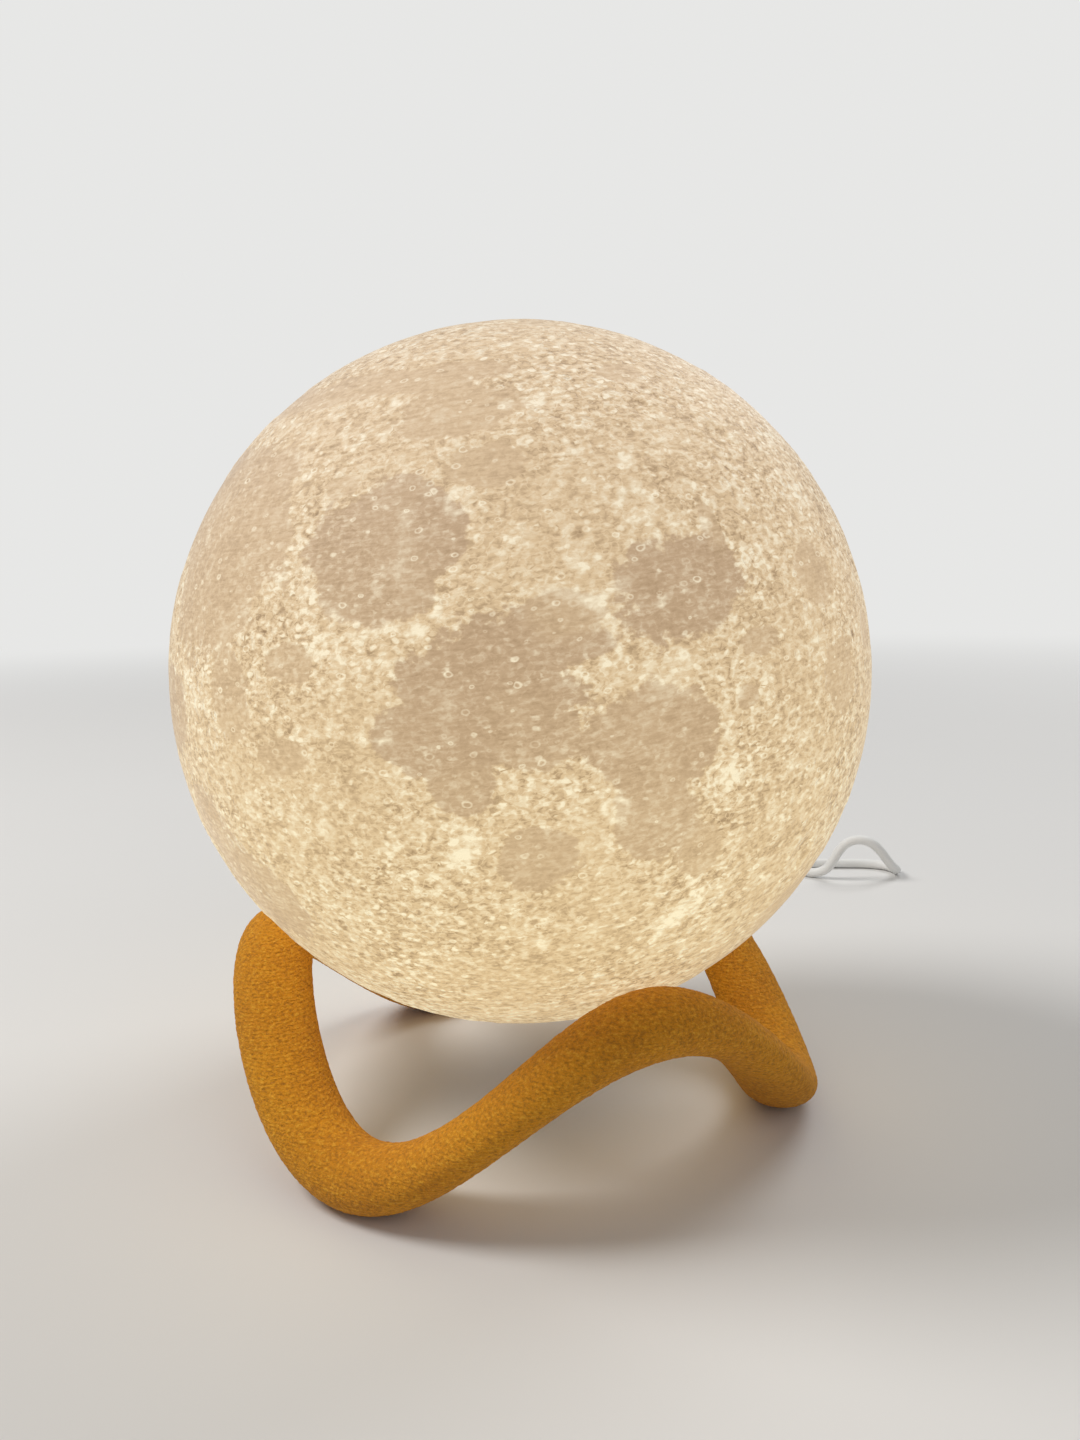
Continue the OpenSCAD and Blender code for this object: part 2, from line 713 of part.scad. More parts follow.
usb_shell_w = 12;
usb_shell_h = 4.5;
usb_shell_l = 12;
usb_wall = 0.4;
usb_front_y = usb_at[1] - usb_grip_l;

// Bar of a flat shape drawn across X and Z, from its back face towards -Y
module usb_bar(back_y, length) {
    translate([usb_at[0], back_y, usb_at[2]]) rotate([90, 0, 0])
        linear_extrude(length) children();
}

module usb_grip() {
    color("white") {
        usb_bar(usb_at[1], usb_grip_l) round_rect(usb_grip_w, usb_grip_h, 2.6);
        translate([usb_at[0], usb_at[1] - eps, usb_at[2]]) rotate([-90, 0, 0])
            cylinder(r1 = cord_r + 1.4, r2 = cord_r + 0.3, h = usb_relief_l + eps);
    }
}

module usb_shell() {
    color("silver") difference() {
        usb_bar(usb_front_y, usb_shell_l) square([usb_shell_w, usb_shell_h], center = true);
        usb_bar(usb_front_y - 0.6, usb_shell_l)
            square([usb_shell_w - 2 * usb_wall, usb_shell_h - 2 * usb_wall], center = true);
        for (x = [-3, 1]) translate([usb_at[0] + x, usb_front_y - 7.5, usb_at[2]])
            cube([2, 2.4, usb_shell_h]);
    }
}

module usb_tongue() {
    color("ghostwhite") usb_bar(usb_front_y - 0.6, usb_shell_l - 1)
        translate([0, usb_wall - usb_shell_h / 2 + 0.95])
            square([usb_shell_w - 2 * usb_wall - 0.1, 1.8], center = true);
}

module usb_contacts() {
    top = usb_at[2] + usb_wall - usb_shell_h / 2 + 1.85;
    color("gold") for (i = [-1.5 : 1 : 1.5])
        translate([usb_at[0] + 2.2 * i - 0.5, usb_front_y - 10.5, top]) cube([1, 8, 0.15]);
}

stand_ring();
moon_shell();
neck_collar();
base_cap();
power_button();
switch_plunger();
switch_body();
dc_socket();
dc_socket_pin();
charge_light_pipe();
driver_board();
board_components();
case_screws();
battery_pad();
battery_cell();
battery_leads();
module_housing();
led_board();
led_chips();
led_board_screws();
led_leads();
led_cover();
plug_body();
plug_barrel();
plug_strain_relief();
cord_run();
cord_coil();
cord_tail();
cord_tie();
usb_grip();
usb_shell();
usb_tongue();
usb_contacts();
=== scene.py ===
import json
import math

import bmesh
import bpy
import numpy as np
from mathutils import Matrix, Vector


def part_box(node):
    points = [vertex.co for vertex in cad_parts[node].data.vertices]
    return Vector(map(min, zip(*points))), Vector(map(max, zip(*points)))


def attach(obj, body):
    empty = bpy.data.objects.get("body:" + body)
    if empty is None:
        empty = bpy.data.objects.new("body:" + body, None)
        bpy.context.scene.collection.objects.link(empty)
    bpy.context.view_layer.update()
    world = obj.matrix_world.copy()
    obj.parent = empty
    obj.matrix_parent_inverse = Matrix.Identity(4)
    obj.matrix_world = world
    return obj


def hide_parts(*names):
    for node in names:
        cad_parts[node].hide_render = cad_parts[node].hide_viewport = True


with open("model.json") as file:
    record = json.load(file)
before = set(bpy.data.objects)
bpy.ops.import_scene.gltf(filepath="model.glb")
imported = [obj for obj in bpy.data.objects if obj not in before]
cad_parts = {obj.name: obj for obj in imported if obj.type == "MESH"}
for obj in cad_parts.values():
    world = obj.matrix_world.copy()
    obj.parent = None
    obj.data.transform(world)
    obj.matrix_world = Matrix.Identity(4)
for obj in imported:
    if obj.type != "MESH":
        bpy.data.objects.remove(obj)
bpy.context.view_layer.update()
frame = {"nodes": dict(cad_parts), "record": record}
mm = 0.001

# camera

cameraView = {
    "place": (0.1479, -0.2068, 0.1236),   # metres, in the lamp's own frame
    "heading": 34.69,                     # degrees from +Y, anticlockwise
    "pitch": -8.18,
    "roll": -0.95,
    "lens": 28.73,                        # on a 36 mm sensor along the long side
}


def buildCamera():
    data = bpy.data.cameras.new("studioCamera")
    data.lens = cameraView["lens"]
    data.clip_start = 0.01
    camera = addObject("studioCamera", data)
    turn = (Matrix.Rotation(math.radians(cameraView["heading"]), 4, "Z")
            @ Matrix.Rotation(math.radians(90 + cameraView["pitch"]), 4, "X")
            @ Matrix.Rotation(math.radians(cameraView["roll"]), 4, "Z"))
    camera.matrix_world = Matrix.Translation(cameraView["place"]) @ turn
    bpy.context.scene.camera = camera
    print("camera ready")


# node helpers

def addObject(name, data):
    piece = bpy.data.objects.new(name, data)
    bpy.context.scene.collection.objects.link(piece)
    return piece


def setInputs(tree, node, inputs):
    # each value is a plain one, or the output of another node
    for key, value in inputs.items():
        if isinstance(value, bpy.types.NodeSocket):
            tree.links.new(value, node.inputs[key])
        else:
            node.inputs[key].default_value = value


def addNode(tree, kind, inputs=None, **settings):
    node = tree.nodes.new(kind)
    for name, value in settings.items():
        setattr(node, name, value)
    setInputs(tree, node, inputs or {})
    return node


def maths(tree, operation, a, b=0.0, c=0.0):
    return addNode(tree, "ShaderNodeMath", {0: a, 1: b, 2: c}, operation=operation).outputs[0]


def centred(tree, value):
    return maths(tree, "SUBTRACT", value, 0.5)


def addWeighted(tree, total, *terms):
    # adds each value times its weight to the total
    for value, weight in terms:
        total = maths(tree, "MULTIPLY_ADD", value, weight, total)
    return total


def perMetre(tree, size):
    # how many of a size in millimetres fit in a metre
    return maths(tree, "DIVIDE", 1000.0, size)


def ramp(tree, value, low, high, outLow=0.0, outHigh=1.0, kind="SMOOTHSTEP"):
    node = addNode(tree, "ShaderNodeMapRange", {"Value": value, "From Min": low, "From Max": high,
                   "To Min": outLow, "To Max": outHigh}, interpolation_type=kind)
    return node.outputs["Result"]


def noise(tree, vector, scale, detail=3.0, roughness=0.55):
    node = addNode(tree, "ShaderNodeTexNoise", {"Vector": vector, "Scale": scale,
                   "Detail": detail, "Roughness": roughness})
    return node.outputs["Fac"]


def mixColour(tree, factor, a, b, mode="MIX"):
    node = addNode(tree, "ShaderNodeMix", {0: factor, 6: a, 7: b}, data_type="RGBA", blend_type=mode)
    return node.outputs[2]


def scaled(tree, vector, factors):
    return addNode(tree, "ShaderNodeMapping", {"Vector": vector, "Scale": factors}).outputs["Vector"]


def vectorMaths(tree, operation, vector, other):
    key = "Scale" if operation == "SCALE" else 1
    return addNode(tree, "ShaderNodeVectorMath", {0: vector, key: other}, operation=operation).outputs[0]


def warped(tree, vector, scale, amount):
    # the place, pushed about by noise
    push = addNode(tree, "ShaderNodeTexNoise", {"Vector": vector, "Scale": scale, "Detail": 2.0})
    offset = vectorMaths(tree, "SCALE", push.outputs["Color"], amount)
    return vectorMaths(tree, "ADD", vector, offset)


def bumped(tree, shader, height, strength, distance):
    node = addNode(tree, "ShaderNodeBump", {"Strength": strength, "Distance": distance, "Height": height})
    setInputs(tree, shader, {"Normal": node.outputs["Normal"]})


socketKinds = {"Vector": "NodeSocketVector", "Colour": "NodeSocketColor"}    # any other is a number


def newGroup(name, inputs, outputs):
    group = bpy.data.node_groups.new(name, "ShaderNodeTree")
    for label, value in inputs.items():
        kind = socketKinds.get(label, "NodeSocketFloat")
        socket = group.interface.new_socket(label, in_out="INPUT", socket_type=kind)
        if value is not None:
            socket.default_value = value
    for label in outputs:
        kind = socketKinds.get(label, "NodeSocketFloat")
        group.interface.new_socket(label, in_out="OUTPUT", socket_type=kind)
    return group, group.nodes.new("NodeGroupInput").outputs, group.nodes.new("NodeGroupOutput")


def useGroup(tree, group, inputs):
    return addNode(tree, "ShaderNodeGroup", inputs, node_tree=group).outputs


def newMaterial(name, **settings):
    material = bpy.data.materials.new(name)
    material.use_nodes = True
    tree = material.node_tree
    shader = tree.nodes["Principled BSDF"]
    for key, value in settings.items():
        shader.inputs[key.replace("_", " ")].default_value = value
    coords = tree.nodes.new("ShaderNodeTexCoord").outputs["Object"]
    return material, tree, shader, coords


def rgb(red, green, blue):
    linear = []
    for channel in (red, green, blue):
        share = channel / 255
        linear.append(share / 12.92 if share <= 0.04045 else ((share + 0.055) / 1.055) ** 2.4)
    return (*linear, 1.0)


def darker(colour, share):
    return (*(channel * share for channel in colour[:3]), 1)


# shader groups

def buildMouldedGrain():
    group, start, end = newGroup("mouldedGrain", {
        "Vector": None, "Colour": (0.8, 0.8, 0.8, 1), "Grain Size": 0.4, "Mottle": 0.06, "Gloss": 0.45},
        ["Colour", "Roughness", "Height"])
    fine = noise(group, start["Vector"], perMetre(group, start["Grain Size"]), 2.0)
    broad = noise(group, start["Vector"], 140.0)
    shade = addWeighted(group, 1.0, (centred(group, broad), start["Mottle"]),
                        (centred(group, fine), maths(group, "MULTIPLY", start["Mottle"], 0.8)))
    rough = addWeighted(group, start["Gloss"], (centred(group, fine), 0.18), (centred(group, broad), 0.12))
    tint = mixColour(group, 1.0, start["Colour"], shade, "MULTIPLY")
    setInputs(group, end, {"Colour": tint, "Roughness": rough, "Height": fine})
    return group


def buildPrintLines():
    # uneven lines of a print, square to the Z axis of the vector that comes in
    group, start, end = newGroup("printLines", {"Vector": None, "Line Height": 0.4, "Line Run": 5.0},
                                 ["Height"])
    across = perMetre(group, start["Line Run"])
    along = perMetre(group, start["Line Height"])
    factors = addNode(group, "ShaderNodeCombineXYZ", {"X": across, "Y": across, "Z": along}).outputs[0]
    stretched = vectorMaths(group, "MULTIPLY", start["Vector"], factors)
    setInputs(group, end, {"Height": noise(group, stretched, 1.0, 2.0, 0.6)})
    return group


def buildCraterField():
    # bowls with a raised rim, one to a cell: Shine is bright on rims and small bowls
    group, start, end = newGroup("craterField", {
        "Vector": None, "Cell": 2.0, "Smallest": 0.16, "Largest": 0.44}, ["Height", "Shine"])
    scale = perMetre(group, start["Cell"])
    place = warped(group, start["Vector"], scale, maths(group, "MULTIPLY", start["Cell"], 0.0004))
    cells = addNode(group, "ShaderNodeTexVoronoi", {"Vector": place, "Scale": scale})
    chance = addNode(group, "ShaderNodeSeparateColor", {"Color": cells.outputs["Color"]}).outputs
    size = ramp(group, chance[0], 0.0, 1.0, start["Smallest"], start["Largest"], "LINEAR")
    reach = maths(group, "DIVIDE", cells.outputs["Distance"], size)
    rim = maths(group, "MULTIPLY", ramp(group, reach, 0.55, 0.95), ramp(group, reach, 1.0, 1.45, 1.0, 0.0))
    bowl = ramp(group, reach, 0.0, 0.85, 1.0, 0.0)
    spark = maths(group, "MULTIPLY", bowl, ramp(group, chance[0], 0.25, 0.5, 1.0, 0.0))
    weight = ramp(group, chance[1], 0.2, 1.0, 0.15, 1.0)
    setInputs(group, end, {"Height": maths(group, "SUBTRACT", rim, bowl),
              "Shine": maths(group, "MULTIPLY", maths(group, "ADD", rim, spark), weight)})
    return group


mouldedGrain = buildMouldedGrain()
printLines = buildPrintLines()
craterField = buildCraterField()
print("shader groups ready")

# lead: one line from the plug's strain relief to the USB plug

lead = {
    "diameter": 3.5 * mm,
    "coilCentre": (-55 * mm, 176 * mm),
    "coilRadius": 25 * mm,
    "coilPitch": 4 * mm,
    "coilTurns": 5.25,
    "coilBottom": 2.65 * mm,       # height of its lowest centre line, over the strap
    "coilPoints": 16,              # points to a turn
    "run": [                       # from the plug to the coil, in mm, as in the model
        (0, 35.5, 21.2), (-0.3, 41.5, 16.6), (-0.8, 47.5, 10.8), (-1.5, 54, 5.6),
        (-2.5, 61.5, 2.6), (-4, 70, 1.95), (-8, 92, 1.8), (-13, 118, 1.8), (-18, 142, 1.8),
        (-21.5, 162, 1.8), (-23.5, 179, 1.8),
        (-24, 189, 1.8), (-21.5, 197.2, 1.8), (-15.6, 201.6, 1.9), (-8.4, 201.8, 2.1),
        (-4.4, 202, 4), (-1.9, 202.4, 7.6), (0.3, 203, 11.6), (3.2, 204, 14.8), (7, 205.5, 16),
        (10.6, 207.4, 15), (13.2, 209.6, 12.2), (15.2, 212, 8.4), (16.6, 215.2, 4.9),
        (16.8, 219.2, 2.8), (15, 223, 2.05), (10.6, 225.6, 1.9), (4.4, 225.2, 1.8),
        (-6, 219.8, 1.8), (-18, 213, 1.8), (-30, 207, 1.8), (-40, 203, 2.2)],
    "tail": [(-81.2, 162, 5.2)],   # from the coil to the USB plug
}


def coilLine():
    points = []
    turns = lead["coilTurns"]
    count = round(turns * lead["coilPoints"])
    for i in range(count + 1):
        turn = turns * i / count
        radius = lead["coilRadius"] - lead["coilPitch"] * min(turn, turns - turn)
        angle = math.pi / 2 + 2 * math.pi * turn
        climb = lead["coilPitch"] * min(1, max(0, (turn - turns / 2) * 2 + 0.5))
        points.append(Vector((lead["coilCentre"][0] + radius * math.cos(angle),
                              lead["coilCentre"][1] + radius * math.sin(angle),
                              lead["coilBottom"] + climb)))
    return points


def leadLine():
    reliefLow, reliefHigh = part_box("plug_strain_relief")
    gripLow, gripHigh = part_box("usb_grip")
    step = Vector((0, lead["diameter"], 0))
    start = Vector((0, reliefHigh.y, (reliefLow.z + reliefHigh.z) / 2))
    end = Vector(((gripLow.x + gripHigh.x) / 2, gripHigh.y, (gripLow.z + gripHigh.z) / 2))
    coil = coilLine()
    entry = Vector((lead["diameter"], 0, 0))
    run = [Vector(p) * mm for p in lead["run"]]
    tail = [Vector(p) * mm for p in lead["tail"]]
    return ([start, start + step] + run + [coil[0] + 2 * entry, coil[0] + entry] + coil
            + [coil[-1] - step, coil[-1] - 2 * step] + tail + [end + step, end])


def curveThrough(name, points, radius):
    data = bpy.data.curves.new(name, "CURVE")
    data.dimensions = "3D"
    data.bevel_depth = radius
    data.bevel_resolution = 4
    data.resolution_u = 6
    data.use_fill_caps = True
    spline = data.splines.new("BEZIER")
    spline.bezier_points.add(len(points) - 1)
    for knot, point in zip(spline.bezier_points, points):
        knot.co = point
        knot.handle_left_type = knot.handle_right_type = "AUTO"
    return addObject(name, data)


def lineLength(piece):
    probe = addObject("leadProbe", piece.data.copy())
    probe.data.bevel_depth = 0
    mesh = bpy.data.meshes.new_from_object(probe.evaluated_get(bpy.context.evaluated_depsgraph_get()))
    total = sum((mesh.vertices[e.vertices[0]].co - mesh.vertices[e.vertices[1]].co).length
                for e in mesh.edges)
    bpy.data.objects.remove(probe)
    return total


def buildLead(jacket):
    points = leadLine()
    piece = curveThrough("power_lead", points, lead["diameter"] / 2)
    piece.data.materials.append(jacket)
    length = lineLength(piece)
    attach(piece, "root")
    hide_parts("cord_run", "cord_coil", "cord_tail")
    print("lead ready, length", round(length, 3), "m")


# materials of the plain parts

def moulded(name, colour, gloss=0.45, grain=0.4, mottle=0.05, bump=0.12, **settings):
    material, tree, shader, coords = newMaterial(name, **settings)
    skin = useGroup(tree, mouldedGrain, {"Vector": coords, "Colour": colour, "Grain Size": grain,
                    "Mottle": mottle, "Gloss": gloss})
    setInputs(tree, shader, {"Base Color": skin["Colour"], "Roughness": skin["Roughness"]})
    bumped(tree, shader, skin["Height"], bump, 0.1 * mm)
    return material


def brushed(name, colour, gloss):
    # fine lines across the Z axis, as turned or drawn metal shows
    material, tree, shader, coords = newMaterial(name, Metallic=1.0)
    linesPerMetre = (40, 40, 2600)
    lines = noise(tree, scaled(tree, coords, linesPerMetre), 1.0, 2.0)
    setInputs(tree, shader, {
        "Base Color": mixColour(tree, ramp(tree, lines, 0.3, 0.7), darker(colour, 0.86), colour),
        "Roughness": ramp(tree, lines, 0.25, 0.75, gloss + 0.1, gloss - 0.06)})
    bumped(tree, shader, lines, 0.08, 0.05 * mm)
    return material


def solderMask(name, colour, copper):
    # mask over copper: paler where a track runs under it
    material, tree, shader, coords = newMaterial(name, Coat_Weight=0.3, Coat_Roughness=0.15)
    tracksPerMetre = (420, 420, 1)
    cells = addNode(tree, "ShaderNodeTexVoronoi", {"Vector": scaled(tree, coords, tracksPerMetre),
                    "Scale": 1.0}, distance="CHEBYCHEV", feature="F2")
    tracks = ramp(tree, cells.outputs["Distance"], 0.46, 0.5)
    setInputs(tree, shader, {"Base Color": mixColour(tree, tracks, colour, copper),
              "Roughness": ramp(tree, noise(tree, coords, 900.0), 0.3, 0.7, 0.3, 0.42)})
    bumped(tree, shader, tracks, 0.3, 0.04 * mm)
    return material


def wovenStrap(name, colour):
    material, tree, shader, coords = newMaterial(name, Sheen_Weight=0.3)
    threads = []
    for axis, scale in (("X", 620.0), ("Y", 480.0)):
        thread = addNode(tree, "ShaderNodeTexWave", {"Vector": coords, "Scale": scale, "Distortion": 1.2,
                         "Detail": 1.0}, bands_direction=axis)
        threads.append(thread.outputs["Fac"])
    weave = maths(tree, "MULTIPLY", *threads)
    setInputs(tree, shader, {"Base Color": mixColour(tree, weave, darker(colour, 0.7), colour),
              "Roughness": ramp(tree, weave, 0.0, 1.0, 0.95, 0.8)})
    bumped(tree, shader, weave, 0.6, 0.2 * mm)
    return material


def phosphor(name, colour, glow, strength):
    material, tree, shader, coords = newMaterial(name, Roughness=0.35, Emission_Strength=strength)
    cloud = noise(tree, coords, 2400.0, 2.0)
    setInputs(tree, shader, {"Base Color": mixColour(tree, cloud, darker(colour, 0.85), colour),
              "Emission Color": mixColour(tree, cloud, darker(glow, 0.9), glow)})
    return material


def dressParts():
    materials = {
        "module_white": moulded("moduleWhite", rgb(222, 220, 214), 0.5),
        "cap_white": moulded("capWhite", rgb(226, 224, 219), 0.52, grain=0.5, bump=0.3),
        "button_metal": brushed("buttonMetal", rgb(186, 184, 180), 0.28),
        "part_black": moulded("partBlack", rgb(30, 30, 32), 0.5, grain=0.3),
        "contact_brass": brushed("contactBrass", rgb(226, 192, 120), 0.22),
        "clear_rod": moulded("clearRod", rgb(232, 238, 238), 0.2, Transmission_Weight=0.8, IOR=1.49),
        "board_green": solderMask("boardGreen", rgb(20, 78, 42), rgb(46, 118, 66)),
        "screw_steel": brushed("screwSteel", rgb(178, 178, 180), 0.34),
        "pad_foam": moulded("padFoam", rgb(52, 52, 54), 0.9, grain=0.8, bump=0.6),
        "battery_foil": moulded("batteryFoil", rgb(196, 199, 204), 0.35, grain=1.6, bump=0.4,
                                Metallic=0.85),
        "wire_red": moulded("wireRed", rgb(176, 26, 22), 0.4),
        "board_white": solderMask("boardWhite", rgb(226, 227, 224), rgb(204, 204, 198)),
        "led_phosphor": phosphor("ledPhosphor", rgb(236, 196, 92), rgb(255, 222, 160), 3.0),
        "cover_opal": moulded("coverOpal", rgb(238, 232, 218), 0.42, Transmission_Weight=0.5,
                              Emission_Color=rgb(255, 216, 150), Emission_Strength=0.5),
        "lead_white": moulded("leadWhite", rgb(228, 228, 226), 0.55, grain=0.6, bump=0.15),
        "plug_metal": brushed("plugMetal", rgb(206, 206, 208), 0.2),
        "tie_white": wovenStrap("tieWhite", rgb(224, 221, 214)),
        "tongue_white": moulded("tongueWhite", rgb(230, 230, 227), 0.35),
    }
    slots = {part["node"]: part["material_slot"] for part in frame["record"]["subparts"]}
    for name, piece in frame["nodes"].items():
        if slots[name] in materials:
            piece.data.materials.clear()
            piece.data.materials.append(materials[slots[name]])
    print("plain parts dressed")
    return materials


# globe

moonGlobe = {
    "segments": 120,           # quads along one side of the cube that the sphere comes from
    "neck": 56 * mm,           # width of the opening
    "wall": 2.4 * mm,
    "relief": 0.24 * mm,       # how far the mean surface lies under the outline
    "swell": 0.13 * mm,        # roughness of the highlands
    "plainDrop": 0.12 * mm,    # how much lower the plains lie
    "innerRings": 36,
    "underOutline": 0.02 * mm,  # the least that a rim stays under the outline
    "plainRim": 3 * mm,        # width of the band round the neck where the relief ends
    "plainEdge": 0.3,          # raggedness of the plains
    "seed": 7,
    "smallCraters": 1500,
    "smallestCrater": 0.55,    # radius in degrees
    "largestCrater": 2.4,
    "craterDepth": 0.11,       # share of the radius
    "deepest": 0.42 * mm,
    "plainSkips": 0.8,         # share of the small craters that the plains do without
}

# tones of the lit print, from its thickest spots to its thinnest
moonTones = {
    "dark": rgb(156, 128, 92),
    "plain": rgb(199, 172, 136),
    "land": rgb(224, 198, 155),
    "bright": rgb(254, 243, 210),
    "lampShare": 0.78,        # how much of a tone is the lamp's own light
    # painted light and shade by height: the top tint darkens and cools the globe's top, the low tint
    # brightens and warms its bottom
    "paintedTopShade": (0.97, 0.94, 1.0, 1),
    "paintedLowGlow": (1.13, 1.1, 1.01, 1),
}

# the map: plains as longitude, latitude, half width, half height (degrees) and darkness
moonPlains = [
    (60, 17, 9, 6.8, 1.0), (18.5, 26.5, 10, 10, 0.85), (27.8, 28.8, 3.8, 5.2, 1.0),
    (31, 8, 12, 8.5, 1.0), (24, 3, 8, 5.5, 0.95), (36, 3, 5.5, 5, 0.7), (27, -4.5, 4.5, 4, 0.8),
    (42.8, 14.9, 4.6, 3.6, 0.6), (43.8, 11.2, 4, 1.8, 1.0), (52, -3, 9.5, 7.5, 0.78),
    (51, -12, 6, 7, 0.65), (34.8, -15.2, 5.6, 5, 0.6), (5, 13.5, 5, 3.2, 0.45), (1.5, 1.5, 5, 3, 0.3),
    (-8, 11, 5, 4, 0.45), (0, 57, 20, 3.2, 0.3), (-32, 58, 15, 3.6, 0.4), (28, 55.5, 11, 2.6, 0.35),
    (-16, 33, 17.5, 16, 0.5), (-32, 44.5, 4.5, 3.8, 0.85), (-57, 20, 15, 20, 1.0),
    (-50, -2, 13, 11, 1.0), (-60, 42, 11, 11, 0.85), (-31, 7, 9, 7, 0.75), (-23, -10, 6, 5.5, 0.55),
    (-16, -21, 10, 8.5, 0.6), (-39, -24, 6.4, 6.4, 0.95), (-28, -32, 6, 2.6, 0.6),
    (36, 37, 5, 3.5, 0.3), (27, 45, 2.8, 2.4, 0.4), (69, 50.5, 4, 2.4, 0.3), (85.5, 14, 4.5, 5, 0.35),
    (86.5, -1, 5, 5.5, 0.3), (66, 0.7, 2.4, 2, 0.5), (69, 7, 3.4, 2, 0.5), (67, 22.5, 1.4, 4, 0.4),
    (92, -42, 10, 9, 0.4), (83, -52, 8, 6, 0.35), (-93, -19.5, 5, 5, 0.8), (-68, -5.3, 2.4, 3, 0.9),
    (-55, 54, 8, 4.5, 0.55), (147, 27, 4.6, 4.4, 0.8), (163, -34, 5, 5.5, 0.6),
    (129, -20.5, 2.8, 2.6, 0.9), (-152, -36, 5.5, 5, 0.45), (-168, -50, 24, 15, 0.3),
    (133, -58, 6, 4, 0.4), (152, -19, 4, 4, 0.35), (12, 37, 3, 2, 0.25), (101, 3, 3, 2.5, 0.4),
    (127, 46, 3, 2.6, 0.35), (57.5, -19, 3, 4, 0.35), (32, 47, 9, 5, 0.3), (-7, 7, 4, 3, 0.3),
]

# ring plains and craters: longitude, latitude, radius (degrees), depth share
moonCraters = [
    (56, 28, 2.1, 0.8), (61, -9, 2.2, 1), (62, -16, 2.3, 0.5), (60, -25, 3, 0.9), (60, -36, 2.1, 0.7),
    (54, -32.5, 1.3, 0.9), (57, 54, 2.1, 0.8), (30, 32, 1.7, 0.6), (26, -11, 1.7, 1),
    (24, -13, 1.6, 0.7), (23.5, -18, 1.7, 0.6), (17, 50, 1.5, 0.8), (16, 44, 1.2, 0.9),
    (44, 47, 1.5, 0.8), (39, 47, 1.2, 0.8), (46, 21, 1.1, 0.7), (-20, 10, 1.6, 1), (-38, 8, 0.7, 0.9),
    (-11, -43, 1.5, 1), (-9, 52, 1.8, 0.5), (-40, -17.5, 1.8, 0.6), (-2, -9, 2.5, 0.5),
    (-3, -13.5, 2, 0.6), (-2, -18, 1.6, 0.8), (4, -11, 2.2, 0.5), (5, -5.5, 2.4, 0.3),
    (41, -45, 3.1, 0.5), (-14, -58, 3.7, 0.8), (-6, -50, 2.7, 0.6), (-22, -50, 2.4, 0.6),
    (-55, -44, 3.8, 0.6), (-68, -5, 2.9, 0.5), (-74, -3, 2.4, 0.5), (81, -27, 3.3, 0.8),
    (79, 36, 2.9, 0.7), (14, -42, 2, 0.7), (6, -41, 2, 0.5), (32, -30, 1.4, 0.8), (60, 39, 2, 0.5),
    (57, 34.5, 1.4, 0.8), (-4, 30, 1.4, 0.6), (-11, 14.5, 1, 1), (-42, 62, 2.3, 0.5),
    (-63, 63, 2.4, 0.7), (9, 14.5, 0.8, 0.9), (16, 16, 0.6, 1), (23.7, 15.4, 0.8, 0.9),
    (17.3, 2.8, 0.5, 0.9), (45, -10, 1, 0.5), (46.5, 5.6, 0.9, 0.6), (54.5, 14.6, 0.5, 1),
    (53.5, 18.5, 0.4, 1), (46.8, 16, 0.6, 1), (17.9, 21.8, 0.3, 1), (39, -53, 1.6, 0.6),
    (32.7, -0.4, 0.3, 1), (24, -0.6, 0.3, 1), (38, -20, 1.2, 0.5), (40, -38, 1.7, 0.5),
    (19, -33, 1.4, 0.6), (129, -20, 3, 1), (141, 6, 5, 0.6), (-158, -4, 6.5, 0.7), (-129, 2, 7.5, 0.6),
    (-152, -36, 7, 0.7), (149, -20, 4.2, 0.6), (-95, -19, 8, 0.7), (-95, -19, 5, 0.6),
    (-146, 59, 5.5, 0.6), (164, 51, 4, 0.6), (148, 27, 4.5, 0.5), (122, -45, 3.6, 0.6),
    (172, -27, 3.6, 0.7), (-149, 18, 3, 0.8), (104, 12, 3.2, 0.6), (112, 48, 2.6, 0.7),
    (-110, 36, 3.4, 0.6), (-176, 12, 2.4, 0.8), (180, -6, 1.6, 0.8), (-173, -5, 1.6, 0.8),
    (163, -17, 2.2, 0.6), (137, 38, 2.2, 0.7), (-118, -50, 2.6, 0.7), (-84, 30, 2.2, 0.6),
    (-135, -22, 2.6, 0.6),
]

# fresh craters with bright streaks: longitude, latitude, reach (degrees), brightness
moonRays = [
    (-11, -43, 38, 0.12), (-20, 10, 15, 0.12), (-38, 8, 10, 0.12), (-47, 24, 8, 0.14),
    (46.8, 16, 9, 0.07), (61.8, -9, 5, 0.08), (54, -31, 13, 0.1), (16, 16, 4, 0.2),
    (17.3, 2.8, 3, 0.16), (32.7, -0.4, 2.5, 0.2), (-64, -25, 12, 0.14), (-10, 74, 14, 0.12),
    (103, 36, 16, 0.2), (-163, 22, 12, 0.18), (-113, -18, 10, 0.15), (26, -11, 5, 0.1),
    (-73, -57, 10, 0.1), (122, -9, 8, 0.15), (88, 22, 7, 0.12), (9, 14.5, 2.5, 0.14),
]

